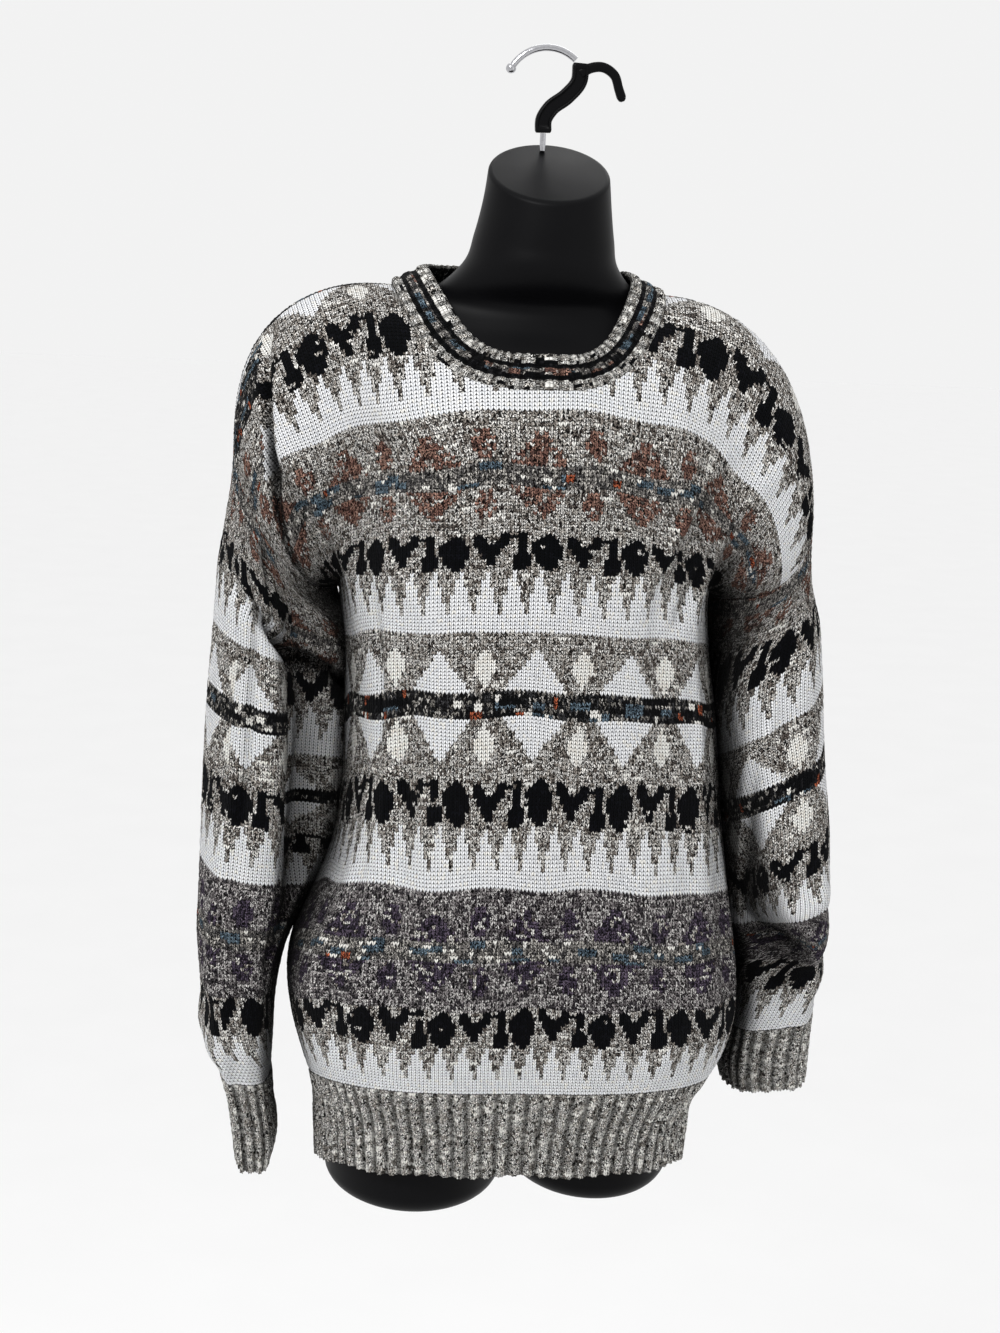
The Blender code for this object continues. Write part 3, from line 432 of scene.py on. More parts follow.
# The charts. g and m marled grounds, w and u whites, k black, b brown, p purple, c and f flecked
# centre lines, r ribs, h the neckband's middle. Flecks: v white, l blue, o orange, d dark
BLACK_MOTIF = (
    ".##....##...##....##.",
    "###...####..###...###",
    ".##..#####..###..###.",
    ".##.#######.########.",
    ".##.#######..######..",
    ".##.#######..#####...",
    ".##.#######...####...",
    "####.######...###....",
    "####.#####.....##....",
    "####.#####.....##....",
    "####..####...........",
    "###....##............",
)
TOOTH_WIDTHS = (1, 1, 2, 2, 3, 3, 4, 4, 5, 5, 5, 6)
TOOTH_PITCH = 6
TRIANGLE_PITCH = 23
MUTED_PITCH = 24
BIG_WIDTHS = (1, 3, 3, 5, 5, 7, 9, 9, 11, 13, 13, 15)
SMALL_WIDTHS = (1, 3, 3, 5, 5, 5, 5, 3, 3, 1, 1)
MUTED_BIG = (3, 3, 5, 7, 7, 9, 11, 11, 13)
MUTED_SMALL = (3, 3, 5, 5, 5, 5, 3, 3)


def blank(rows, columns, letter="g"):
    return np.full((rows, columns), letter, dtype="<U1")


def motif_rows(shape, widths, first, centre, letter):
    """Rows of one letter of the given widths about a centre column, from the first row down."""
    columns = shape.shape[1]
    for k, width in enumerate(widths):
        start = centre - width // 2
        for column in range(start, start + width):
            shape[first + k, column % columns] = letter


def black_and_teeth(motif, tooth):
    """28 rows: black motifs, then white teeth that stand on a plain white base."""
    columns = TOOTH_PITCH * len(BLACK_MOTIF[0])
    band = blank(28, columns)
    for r, line in enumerate(BLACK_MOTIF):
        for c in range(columns):
            if line[(c + motif) % len(line)] == "#":
                band[r, c] = "k"
    for k, width in enumerate(TOOTH_WIDTHS):
        first = (TOOTH_PITCH + 1 - width) // 2
        for c in range(columns):
            if 0 <= (c + tooth) % TOOTH_PITCH - first < width:
                band[12 + k, c] = "w"
    band[24:] = "w"
    return band


def triangles():
    """41 rows: white triangles and small diamonds on both sides of a dark centre line."""
    band = blank(41, TRIANGLE_PITCH)
    motif_rows(band, BIG_WIDTHS, 5, 12, "w")
    motif_rows(band, SMALL_WIDTHS, 5, 0, "u")
    band[17:24] = "c"
    motif_rows(band, BIG_WIDTHS[::-1], 24, 12, "w")
    motif_rows(band, SMALL_WIDTHS[::-1], 25, 0, "u")
    return band


def muted(letter, ground="g"):
    """34 rows: broken triangles of a muted colour on both sides of a flecked centre line."""
    band = blank(34, MUTED_PITCH, ground)
    motif_rows(band, MUTED_BIG, 5, 12, letter)
    motif_rows(band, MUTED_SMALL, 5, 0, letter)
    band[14:20] = "f"
    motif_rows(band, MUTED_BIG[::-1], 20, 12, letter)
    motif_rows(band, MUTED_SMALL, 21, 0, letter)
    return band


def stack(bands, columns, offsets):
    """Bands repeated across and stacked downwards, each shifted by its offset."""
    parts = []
    for band, offset in zip(bands, offsets):
        across = (np.arange(columns) - columns // 2 + offset) % band.shape[1]
        parts.append(band[:, across])
    return np.vstack(parts)


# Yarns as sRGB colours and shares. Each leg of a stitch takes one of its yarn's colours
YARNS = {
    "g": ((248, 245, 240, 0.50), (214, 208, 200, 0.26), (160, 152, 144, 0.15),
          (112, 104, 98, 0.09)),
    "m": ((226, 222, 220, 0.34), (172, 166, 166, 0.30), (118, 112, 114, 0.22),
          (74, 70, 74, 0.14)),
    "w": ((245, 246, 248, 0.72), (236, 238, 242, 0.20), (249, 247, 242, 0.08)),
    "u": ((246, 245, 240, 0.70), (238, 234, 226, 0.30)),
    "k": ((5, 6, 9, 0.80), (11, 12, 17, 0.20)),
    "b": ((182, 142, 126, 0.42), (146, 108, 96, 0.36), (98, 74, 68, 0.14),
          (210, 196, 188, 0.08)),
    "p": ((112, 100, 118, 0.40), (84, 75, 92, 0.36), (56, 50, 62, 0.24)),
    "c": ((28, 28, 30, 0.40), (70, 70, 72, 0.26), (150, 146, 140, 0.22), (220, 216, 210, 0.12)),
    "f": ((96, 94, 94, 0.30), (150, 146, 142, 0.34), (214, 209, 202, 0.36)),
    "r": ((252, 250, 245, 0.58), (226, 221, 213, 0.28), (170, 164, 156, 0.10),
          (108, 103, 98, 0.04)),
    "l": ((122, 142, 156, 0.50), (88, 106, 120, 0.50)),
    "o": ((206, 112, 78, 0.60), (150, 80, 58, 0.40)),
    "v": ((240, 238, 232, 1.00),),
    "d": ((9, 10, 12, 0.86), (30, 30, 32, 0.14)),
}
# Yarns twisted from their colour and a black strand, and the share that stays unbroken
TWISTED = "gmbpcfrlo"
KEEP_COLOUR = 0.20
YARN_VARIATION = 0.10


def linear(values):
    values = np.asarray(values, dtype=float) / 255.0
    return np.where(values <= 0.04045, values / 12.92, ((values + 0.055) / 1.055) ** 2.4)


def yarn_colours(chart):
    """Colours of all legs, with 1 in the fourth place for a yarn that isn't twisted with black."""
    rows, columns = chart.shape
    roll = dice.random((rows, 2 * columns))
    fresh = dice.random((rows, 2 * columns)) > KEEP_COLOUR
    fresh[:, 0] = True
    place = np.where(fresh, np.arange(2 * columns), 0)
    place = np.maximum.accumulate(place, axis=1)
    roll = np.take_along_axis(roll, place, axis=1)
    legs = np.repeat(chart, 2, axis=1)
    colours = np.zeros(legs.shape + (3,))
    for letter, yarn in YARNS.items():
        mine = legs == letter
        if not mine.any():
            continue
        shares = np.cumsum([row[3] for row in yarn])
        pick = np.clip(np.searchsorted(shares, roll[mine]), 0, len(yarn) - 1)
        colours[mine] = linear([row[:3] for row in yarn])[pick]
    colours *= 1.0 + YARN_VARIATION * (dice.random(legs.shape)[..., None] - 0.5)
    plain = ~np.isin(legs, list(TWISTED))
    return np.concatenate([colours, plain[..., None]], axis=-1)


def fleck(chart, letters, flecks):
    """Strews short runs of fleck yarns, each (yarn, share, stitches, rows), over some letters."""
    rows, columns = chart.shape
    allowed = np.isin(chart, list(letters))
    for yarn, share, wide, tall in flecks:
        count = int(share * allowed.sum() / (wide * tall))
        spots = np.argwhere(allowed)
        if not len(spots) or not count:
            continue
        for r, c in spots[dice.integers(0, len(spots), count)]:
            across = slice(c, min(c + max(1, wide + dice.integers(-1, 2)), columns))
            down = slice(r, min(r + tall, rows))
            part = chart[down, across]
            part[allowed[down, across]] = yarn
    return chart


def body_chart(front):
    if front:
        phases = ((14, 4), (6, 3), (5, 2), (7, 0))
        offsets = (12, 0, 13, 0, 12, 0, 12, 0)
    else:
        phases = ((8, 1), (2, 4), (17, 0), (12, 5))
        offsets = (3, 0, 14, 0, 3, 0, 5, 0)
    blacks = [black_and_teeth(motif, tooth) for motif, tooth in phases]
    bands = (triangles()[21:41], blacks[0], muted("b"), blacks[1], triangles(), blacks[2],
             muted("p", "m"), blacks[3])
    return stack(bands, BODY_STITCHES, offsets)


def sleeve_chart(side):
    """The sleeve starts within the brown band."""
    phases = ((3, 0), (9, 3), (14, 1)) if side < 0 else ((16, 2), (4, 5), (7, 3))
    offsets = (5, 0, 13, 0, 2, 0) if side < 0 else (11, 0, 3, 0, 8, 0)
    blacks = [black_and_teeth(motif, tooth) for motif, tooth in phases]
    bands = (muted("b"), blacks[0], triangles(), blacks[1], muted("p", "m"), blacks[2])
    whole = stack(bands, SLEEVE_STITCHES, offsets)
    start = len(whole) - SLEEVE_ROWS_COUNT
    chart = whole[start:].copy()
    if side < 0:
        past = np.roll(whole, CREASE_SHIFT, axis=1)[start:]
        chart[:, CREASE_STITCH:] = past[:, CREASE_STITCH:]
        rows = np.arange(SLEEVE_ROWS_COUNT)
        lower = TUCK_ROWS * smooth_step((130 - rows) / 55)
        tucked = np.maximum(rows + start - lower, 0).astype(int)
        chart[:, :TUCK_STITCHES] = whole[tucked, :TUCK_STITCHES]
    return finish_chart(chart)


def finish_chart(chart):
    """The odd coloured and white stitches that the marled and flecked yarns show."""
    chart = fleck(chart, "g", (("v", 0.020, 1, 1),))
    chart = fleck(chart, "c", (("l", 0.12, 4, 2), ("o", 0.08, 2, 3), ("v", 0.05, 1, 2),
                               ("d", 0.30, 7, 2)))
    chart = fleck(chart, "f", (("l", 0.22, 4, 2), ("o", 0.02, 2, 2), ("v", 0.04, 1, 1)))
    chart = fleck(chart, "bp", (("g", 0.16, 1, 1),))
    chart = fleck(chart, "k", (("g", 0.02, 1, 1),))
    return chart


# Materials
FULL_TURN = 6.2832


def shader_of(tree):
    return tree.nodes["Principled BSDF"]


def fill(tree, item, inputs):
    """Sets a shader node's inputs from links or values."""
    for key, value in dict(inputs).items():
        if isinstance(value, bpy.types.NodeSocket):
            tree.links.new(value, item.inputs[key])
        else:
            item.inputs[key].default_value = value


def new_material(name, roughness, metallic=0.0):
    made = bpy.data.materials.new(name)
    made.use_nodes = True
    tree = made.node_tree
    fill(tree, shader_of(tree), {"Roughness": roughness, "Metallic": metallic})
    return made, tree


def node(tree, kind, inputs=(), **settings):
    """A shader node with its settings and its input links or values."""
    item = tree.nodes.new("ShaderNode" + kind)
    for key, value in settings.items():
        setattr(item, key, value)
    fill(tree, item, inputs)
    return item


def math_node(tree, operation, *values):
    return node(tree, "Math", enumerate(values), operation=operation).outputs[0]


def map_range(tree, value, low, high, to_low, to_high):
    return node(tree, "MapRange", {"Value": value, "From Min": low, "From Max": high,
                                   "To Min": to_low, "To Max": to_high}).outputs[0]


def noise(tree, place, scale, detail, **settings):
    return node(tree, "TexNoise", {"Vector": place, "Scale": scale, "Detail": detail},
                **settings).outputs[0]


def two_tones(tree, value, dark, pale):
    """A ramp between two colours."""
    ramp = node(tree, "ValToRGB", {0: value})
    for element, tone in zip(ramp.color_ramp.elements, (dark, pale)):
        element.color = tone + (1.0,)
    return ramp.outputs[0]


def knit_material(name, relief, hole, rib_stitches=0.0):
    """Wool legs: rounded across, some twisted with a black strand. Painted shade darkens the colour
    where the legs meet, in the gaps between stitches, deep in folds and in rib valleys.
    """
    made, tree = new_material(name, 0.92)

    def op(operation, *values):
        return math_node(tree, operation, *values)

    def rounded(share, power):
        """1 in the middle of a share from 0 to 1, falling to 0 at both ends."""
        off = op("ABSOLUTE", op("MULTIPLY_ADD", share, 2.0, -1.0))
        return op("SUBTRACT", 1.0, op("POWER", off, power))

    def from_corner(place):
        """How far a place lies from the nearest whole number of stitches."""
        return op("ABSOLUTE", op("SUBTRACT", op("FRACT", op("ADD", place, 0.5)), 0.5))

    tint = node(tree, "Attribute", attribute_name="tint")
    uv = node(tree, "UVMap", uv_map="stitches").outputs[0]
    parts = node(tree, "SeparateXYZ", {0: uv})
    u = parts.outputs["X"]
    v = parts.outputs["Y"]
    leg = op("FRACT", op("MULTIPLY", u, 2.0))
    row = op("FRACT", v)
    body = op("MULTIPLY", rounded(leg, 2.4), rounded(row, 4.0))
    ply = op("SINE", op("MULTIPLY_ADD", row, 12.6, op("MULTIPLY", leg, 7.0)))
    height = op("MULTIPLY_ADD", ply, 0.10, body)
    fuzz = noise(tree, node(tree, "TexCoord").outputs["Object"], 2600.0, 2.0)
    height = op("MULTIPLY_ADD", fuzz, 0.35, height)
    bump = node(tree, "Bump", {"Height": height, "Strength": relief, "Distance": 0.0009})
    # Painted shade: each leg's colour darkens towards its edges, where the legs meet
    shade = map_range(tree, body, 0.0, 0.75, 0.40, 1.0)
    # Painted shade: a dark dot at each stitch's corners stands in for the shade inside the small gaps
    # between stitches
    near = op("ADD", op("MULTIPLY", from_corner(u), 1.3), from_corner(v))
    painted_gap_shade = op("LESS_THAN", near, hole)
    shade = op("MULTIPLY", shade, op("MULTIPLY_ADD", painted_gap_shade, -0.92, 1.0))
    # Painted shade: the colour darkens deep inside folds and between touching parts, by ambient
    # occlusion
    fold_shade_occlusion = node(tree, "AmbientOcclusion", {"Distance": 0.07}, samples=6)
    depth = map_range(tree, fold_shade_occlusion.outputs["AO"], 0.26, 0.86, 0.05, 1.0)
    shade = op("MULTIPLY", shade, depth)
    # Painted shade: the colour darkens in the valleys between the ribs
    if rib_stitches:
        wave = op("SINE", op("MULTIPLY", u, FULL_TURN / rib_stitches))
        shade = op("MULTIPLY", shade, map_range(tree, wave, -0.9, 0.1, 0.36, 1.0))
    # The black strand winds round the coloured one, so it crosses each leg at its own place
    drift = noise(tree, uv, 1.0, 0.0, noise_dimensions="2D")
    second_leg = op("FLOOR", op("MULTIPLY", op("FRACT", u), 2.0))
    lean = op("MULTIPLY_ADD", second_leg, -0.5, 0.25)
    phase = op("MULTIPLY_ADD", drift, 3.6, u)
    phase = op("MULTIPLY_ADD", row, lean, phase)
    strand = op("SINE", op("MULTIPLY", phase, FULL_TURN))
    strand = map_range(tree, strand, -0.12, 0.30, 0.02, 1.0)
    strand = op("MAXIMUM", strand, tint.outputs["Alpha"])
    shade = op("MULTIPLY", shade, strand)
    colour = node(tree, "VectorMath", {0: tint.outputs["Color"], 1: shade}, operation="MULTIPLY")
    fill(tree, shader_of(tree), {
        "Base Color": colour.outputs[0], "Normal": bump.outputs[0], "Sheen Weight": 0.015,
        "Sheen Roughness": 0.6, "Specular IOR Level": 0.03})
    return made


def plastic_material(name, roughness, grain):
    """Black moulded plastic with a faint grain and uneven gloss."""
    made, tree = new_material(name, roughness)
    place = node(tree, "TexCoord").outputs["Object"]
    fine = noise(tree, place, 900.0, 3.0)
    broad = noise(tree, place, 14.0, 4.0)
    bump = node(tree, "Bump", {"Height": fine, "Strength": grain, "Distance": 0.0003})
    fill(tree, shader_of(tree), {
        "Base Color": two_tones(tree, broad, (0.0018, 0.0018, 0.0022), (0.0036, 0.0036, 0.0042)),
        "Roughness": map_range(tree, broad, 0.3, 0.7, roughness - 0.05, roughness + 0.08),
        "Normal": bump.outputs[0], "Specular IOR Level": 0.07})
    return made


def chrome_material(name):
    """Chromed steel with fine scuffs that vary its gloss."""
    made, tree = new_material(name, 0.14, 1.0)
    scuffs = noise(tree, node(tree, "TexCoord").outputs["Object"], 420.0, 4.0)
    fill(tree, shader_of(tree), {
        "Base Color": two_tones(tree, scuffs, (0.36, 0.36, 0.38), (0.58, 0.58, 0.60)),
        "Roughness": map_range(tree, scuffs, 0.35, 0.75, 0.08, 0.28)})
    return made


# Small folds on top of the largest ones, deepened by a share: place across and down, height,
# reach across and along, and the lean of the line across for each metre down
FOLD_DEPTH = 1.6
SMALL_FOLDS = {
    "front": table(FOLD, [
        (-0.243, 0.115, -0.0085, 0.0055, 0.075, -0.43),
        (-0.238, 0.130, -0.0060, 0.009, 0.070, 0.10),
        (-0.222, 0.150, 0.0040, 0.010, 0.060, 0.25),
        (-0.175, 0.190, -0.0030, 0.008, 0.050, 0.70),
        (-0.150, 0.225, 0.0026, 0.008, 0.045, 0.80),
        (-0.110, 0.150, 0.0016, 0.013, 0.060, 0.45),
        (-0.060, 0.250, -0.0014, 0.014, 0.080, 0.10),
        (0.020, 0.230, 0.0014, 0.016, 0.070, -0.05),
        (0.075, 0.180, -0.0016, 0.013, 0.060, -0.35),
        (0.132, 0.205, 0.0032, 0.009, 0.050, -0.55),
        (0.160, 0.250, -0.0034, 0.008, 0.045, -0.60),
        (0.205, 0.160, 0.0030, 0.010, 0.060, -0.20),
        (0.228, 0.215, -0.0038, 0.009, 0.050, -0.10),
        (-0.150, 0.340, -0.0034, 0.007, 0.060, 0.06),
        (-0.090, 0.395, 0.0016, 0.012, 0.070, -0.12),
        (0.120, 0.330, -0.0020, 0.012, 0.070, 0.12),
        (0.172, 0.380, 0.0026, 0.010, 0.080, 0.05),
        (-0.170, 0.500, 0.0028, 0.012, 0.060, -0.10),
        (-0.115, 0.545, -0.0026, 0.012, 0.055, 0.14),
        (-0.020, 0.530, 0.0016, 0.018, 0.060, -0.06),
        (0.045, 0.500, -0.0020, 0.014, 0.060, 0.10),
        (0.100, 0.515, 0.0024, 0.013, 0.050, -0.18),
        (0.150, 0.470, -0.0024, 0.011, 0.060, 0.16),
        (0.215, 0.520, 0.0026, 0.013, 0.070, 0.05),
        (0.020, 0.610, -0.0022, 0.014, 0.032, 0.00),
        (-0.150, 0.618, -0.0020, 0.013, 0.030, 0.20),
        (0.125, 0.615, 0.0022, 0.014, 0.034, -0.15),
    ]),
    "back": table(FOLD, [
        (-0.225, 0.150, -0.0045, 0.010, 0.070, 0.15),
        (0.222, 0.160, -0.0045, 0.010, 0.070, -0.15),
        (-0.165, 0.210, 0.0030, 0.010, 0.055, 0.55),
        (0.170, 0.205, 0.0030, 0.010, 0.055, -0.50),
        (-0.070, 0.120, 0.0016, 0.016, 0.060, 0.30),
        (0.080, 0.140, -0.0016, 0.014, 0.060, -0.30),
        (-0.020, 0.270, 0.0020, 0.016, 0.090, 0.05),
        (0.050, 0.330, -0.0022, 0.012, 0.080, -0.08),
        (-0.090, 0.360, -0.0024, 0.011, 0.070, 0.14),
        (0.170, 0.420, 0.0026, 0.011, 0.080, 0.06),
        (-0.180, 0.450, 0.0024, 0.012, 0.070, -0.08),
        (0.010, 0.450, 0.0018, 0.014, 0.070, 0.10),
        (-0.130, 0.560, -0.0024, 0.012, 0.050, 0.12),
        (0.120, 0.575, 0.0022, 0.013, 0.050, -0.14),
        (-0.020, 0.605, 0.0024, 0.016, 0.034, 0.00),
        (0.180, 0.600, -0.0020, 0.012, 0.034, 0.10),
    ]),
}

# Folds of the sleeves: place round and down, height, reach round and along, lean
SLEEVE_FOLDS = {
    -1: table(FOLD, [
        (0.148, 0.137, -0.0200, 0.0240, 0.036, -2.10),
        (0.010, 0.055, 0.0080, 0.0400, 0.035, 0.00),
        (0.990, 0.055, 0.0080, 0.0400, 0.035, 0.00),
        (0.255, 0.050, -0.0075, 0.0060, 0.050, 0.00),
        (0.196, 0.270, -0.0085, 0.0060, 0.110, 0.00),
        (0.320, 0.210, -0.0075, 0.0060, 0.150, 0.00),
        (0.360, 0.200, -0.0025, 0.016, 0.150, 0.00),
        (0.330, 0.300, 0.0030, 0.018, 0.110, 0.05),
        (0.300, 0.120, -0.0035, 0.020, 0.060, 0.40),
        (0.440, 0.300, 0.0016, 0.022, 0.080, -0.10),
        (0.480, 0.400, 0.0018, 0.030, 0.028, 0.20),
        (0.420, 0.455, -0.0022, 0.035, 0.016, -0.30),
        (0.520, 0.480, 0.0024, 0.035, 0.014, 0.25),
        (0.600, 0.430, -0.0020, 0.030, 0.022, 0.20),
        (0.660, 0.250, 0.0022, 0.030, 0.070, -0.10),
        (0.750, 0.330, -0.0024, 0.028, 0.060, 0.15),
        (0.180, 0.200, 0.0028, 0.024, 0.070, 0.10),
        (0.120, 0.330, -0.0024, 0.024, 0.060, -0.10),
        (0.380, 0.495, 0.0022, 0.030, 0.012, 0.10),
    ]),
    1: table(FOLD, [
        (0.300, 0.330, 0.0040, 0.030, 0.016, 0.35),
        (0.340, 0.365, -0.0035, 0.034, 0.012, 0.40),
        (0.260, 0.300, -0.0030, 0.030, 0.016, 0.30),
        (0.420, 0.120, 0.0020, 0.026, 0.070, 0.10),
        (0.330, 0.160, -0.0024, 0.022, 0.060, -0.25),
        (0.250, 0.130, 0.0030, 0.020, 0.050, -0.35),
        (0.460, 0.300, 0.0020, 0.022, 0.060, 0.00),
        (0.470, 0.430, -0.0026, 0.040, 0.015, -0.20),
        (0.380, 0.470, 0.0026, 0.040, 0.014, 0.20),
        (0.540, 0.460, 0.0022, 0.035, 0.018, 0.25),
        (0.620, 0.250, -0.0024, 0.028, 0.070, 0.10),
        (0.700, 0.380, 0.0026, 0.030, 0.040, -0.15),
        (0.800, 0.200, -0.0022, 0.028, 0.060, 0.10),
        (0.420, 0.500, -0.0022, 0.035, 0.011, 0.00),
    ]),
}


def wander(across, down):
    """Slow unevenness of rows and columns, up to about one."""
    return (np.sin(31.0 * across + 5.0 * np.sin(9.0 * down + 0.7) + 1.3)
            * np.sin(23.0 * down + 3.0 * np.sin(13.0 * across))
            + 0.6 * np.sin(67.0 * across - 41.0 * down + 2.0)) / 1.6


def tip_shift(across, down):
    """Rows of the front sag near the wearer's left armhole and ride up near the right one."""
    ease = (LEFT_TIP_SAG * smooth_step((across - LEFT_TIP) / 0.045)
            - RIGHT_TIP_RISE * smooth_step((-across - RIGHT_TIP) / 0.060))
    inside = down + ease * np.sin(np.pi * np.clip(down / ARMHOLE_DEPTH, 0.0, 1.0))
    return np.where(down < ARMHOLE_DEPTH, inside, down)


def pulled_neck(points):
    """The neck opening is pulled a little towards the wearer's right."""
    pull = NECK_PULL * np.exp(-((points[..., 0] - NECK_PULL_PLACE) / 0.045) ** 2)
    pull = pull * smooth_step((points[..., 2] - NECK_PULL_FLOOR) / 0.050)
    return points - pull[..., None] * np.array([1.0, 0.0, 0.30])


def cloth_place(across, down, face):
    """A point of the cloth with all its folds, without the relief of the stitches."""
    base = body_point(across, down, face)
    inside = np.clip(across, -HALF_WIDTH + 0.004, HALF_WIDTH - 0.004)
    normal = surface_normal(lambda p, d: body_point(p, d, face), inside,
                            np.clip(down, 0.004, HEM_END - 0.004), face)
    edge = smooth_step((HALF_WIDTH - np.abs(across)) / 0.02)
    ends = smooth_step(down / 0.03) * smooth_step((RIB_START - down) / 0.03)
    folds = SMALL_FOLDS["front" if face < 0 else "back"]
    lift = FOLD_DEPTH * fold_sum(across, down, folds) * edge * ends
    return pulled_neck(base + normal * lift[..., None] - HANG), normal


def inside_neckline(across, down, face, margin):
    """True where a place lies within the neck hole, short of its edge by a margin."""
    depth = NECK_FRONT_DEPTH if face < 0 else NECK_BACK_DEPTH
    power = 2.0 / NECK_FULLNESS
    return ((np.abs(across) / (NECK_HALF_WIDTH - margin)) ** power
            + (np.maximum(down, 0.0) / (depth - margin)) ** power) < 1.0


def build_mesh(name, points, faces, look):
    """An object from arrays of points and of faces with as many corners each."""
    mesh = bpy.data.meshes.new(name)
    mesh.vertices.add(len(points))
    mesh.vertices.foreach_set("co", np.asarray(points, dtype=np.float32).ravel())
    mesh.loops.add(faces.size)
    mesh.loops.foreach_set("vertex_index", faces.astype(np.int32).ravel())
    mesh.polygons.add(len(faces))
    starts = np.arange(0, faces.size, faces.shape[1], dtype=np.int32)
    mesh.polygons.foreach_set("loop_start", starts)
    mesh.update(calc_edges=True)
    mesh.shade_smooth()
    mesh.materials.append(look)
    return add_object(name, mesh)


def add_stitch_data(item, tints, uvs):
    """The colour of every leg, and where each of its corners lies counted in stitches."""
    mesh = item.data
    layer = mesh.attributes.new("tint", "FLOAT_COLOR", "FACE")
    layer.data.foreach_set("color", tints.astype(np.float32).ravel())
    uv = mesh.uv_layers.new(name="stitches")
    uv.uv.foreach_set("vector", uvs.astype(np.float32).ravel())


def knit_grid(name, points, normal, tints, look, keep=True, closed=False, tube=False,
              relief=None):
    """A sheet of legs: rows and columns of points, one coloured face for each leg."""
    rows, columns = points.shape[:2]
    if relief is None:
        groove = np.where(np.arange(columns) % 2 == 0, -1.0, -0.25) * STITCH_RELIEF
        uneven = STITCH_UNEVENNESS * dice.standard_normal((rows, columns))
        if closed:
            uneven[:, -1] = uneven[:, 0]
        relief = groove + uneven
    placed = points + normal * relief[..., None]
    index = np.arange(rows * columns).reshape(rows, columns)
    if closed:
        index[:, -1] = index[:, 0]
    if tube:
        index[-1] = index[0]
    first, beside, across, below = corners(points)
    facing = np.sum(np.cross(beside - first, below - first) * normal[:-1, :-1]) > 0
    order = (0, 1, 2, 3) if facing else (0, 3, 2, 1)
    faces = np.stack([corners(index)[k] for k in order], axis=-1).reshape(-1, 4)
    places = np.broadcast_arrays(0.5 * np.arange(columns), -1.0 * np.arange(rows)[:, None])
    stitches = np.stack(places, axis=-1)
    uvs = np.stack([corners(stitches)[k] for k in order], axis=2).reshape(-1, 4, 2)
    wide = np.maximum(np.linalg.norm(beside - first, axis=-1),
                      np.linalg.norm(across - below, axis=-1))
    tall = np.linalg.norm(below - first, axis=-1)
    good = (keep & (wide > SMALLEST_LEG) & (tall > SMALLEST_LEG)).ravel()
    faces = faces[good]
    used = np.zeros(rows * columns, dtype=bool)
    used[faces.ravel()] = True
    renumber = np.cumsum(used) - 1
    item = build_mesh(name, placed.reshape(-1, 3)[used], renumber[faces], look)
    add_stitch_data(item, tints.reshape(-1, 4)[good], uvs[good].reshape(-1, 2))
    return item


def zigzag(columns):
    """How far the legs' ends lie up or down along a row: low in the middle of a stitch."""
    return np.where(np.arange(columns) % 2 == 0, -LEG_SLANT, LEG_SLANT)


def panel(name, face, look):
    """The front or back, leg by leg, from the shoulders down to the rib."""
    front = face < 0
    columns = 2 * BODY_STITCHES + 1
    share = np.linspace(-1.0, 1.0, columns)
    rows = np.linspace(0.0, RIB_START, BODY_ROWS + 1)
    chart_down = rows[:, None] + zigzag(columns)[None, :]
    chart_down[0] = 0.0
    chart_down[-1] = RIB_START
    open_up = blend(WIDE_STITCHES, NARROW_STITCHES, smooth_step((chart_down - 0.30) / 0.30))
    across = HALF_WIDTH * (open_up * share + (1.0 - open_up) * share ** 3)
    down = tip_shift(across, chart_down) if front else chart_down + 0.0
    calm = smooth_step(down / 0.06) * smooth_step((RIB_START - down) / 0.05)
    calm *= smooth_step((HALF_WIDTH - np.abs(across)) / 0.05)
    down = down + ROW_WANDER * wander(across, down) * calm
    down = np.clip(down, 0.0, RIB_START)
    points, normal = cloth_place(across, down, face)
    keep = ~np.logical_and.reduce(corners(inside_neckline(across, down, face, 0.004)))
    chart = body_chart(front)
    if front:
        low = rows[1:, None]
        groove = GROOVE_ACROSS + GROOVE_LEAN * (low - 0.06)
        folded = (HALF_WIDTH * share[1::2])[None, :] < groove
        folded &= (low < ARMHOLE_DEPTH) & (low > 0.02)
        brown = stack((muted("b"),), BODY_STITCHES, (4,))
        strip = np.vstack([blank(26, BODY_STITCHES, "c"), brown,
                           blank(BODY_ROWS - 26 - len(brown), BODY_STITCHES)])
        chart = np.where(folded, strip, chart)
    return knit_grid(name, points, normal, yarn_colours(finish_chart(chart)), look, keep)


# Ribs: legs to a rib, and how many ribs and rows
RIB_LEGS = 8
HEM_RIBS = 46
HEM_ROWS = 28
CUFF_RIB_COUNT = 24
CUFF_ROWS = 27
RIB_STEEPNESS = 2.6
RIB_UNEVENNESS = 0.00022
RIB_SLANT = 0.8
RIB_THICKNESS = 0.0024
HEM_WAVE = 0.0012


def rib_relief(columns, rows, high, inward):
    """Relief of a knitted rib: two stitches stand up, two lie back, with soft shoulders."""
    phase = (np.arange(columns) % RIB_LEGS) / RIB_LEGS
    wave = np.tanh(RIB_STEEPNESS * np.sin(2 * np.pi * phase)) / np.tanh(RIB_STEEPNESS)
    wave = np.where(wave > 0, wave * high, wave * inward)
    uneven = RIB_UNEVENNESS * dice.standard_normal((rows, columns))
    uneven[:, -1] = uneven[:, 0]
    return wave[None, :] + uneven


def rib_chart(rows, stitches):
    return fleck(blank(rows, stitches, "r"), "r", (("v", 0.07, 1, 1),))


def thicken(item):
    """Gives a rib its thickness inwards."""
    shell = item.modifiers.new("thickness", "SOLIDIFY")
    shell.thickness = RIB_THICKNESS
    shell.offset = -1.0
    return item


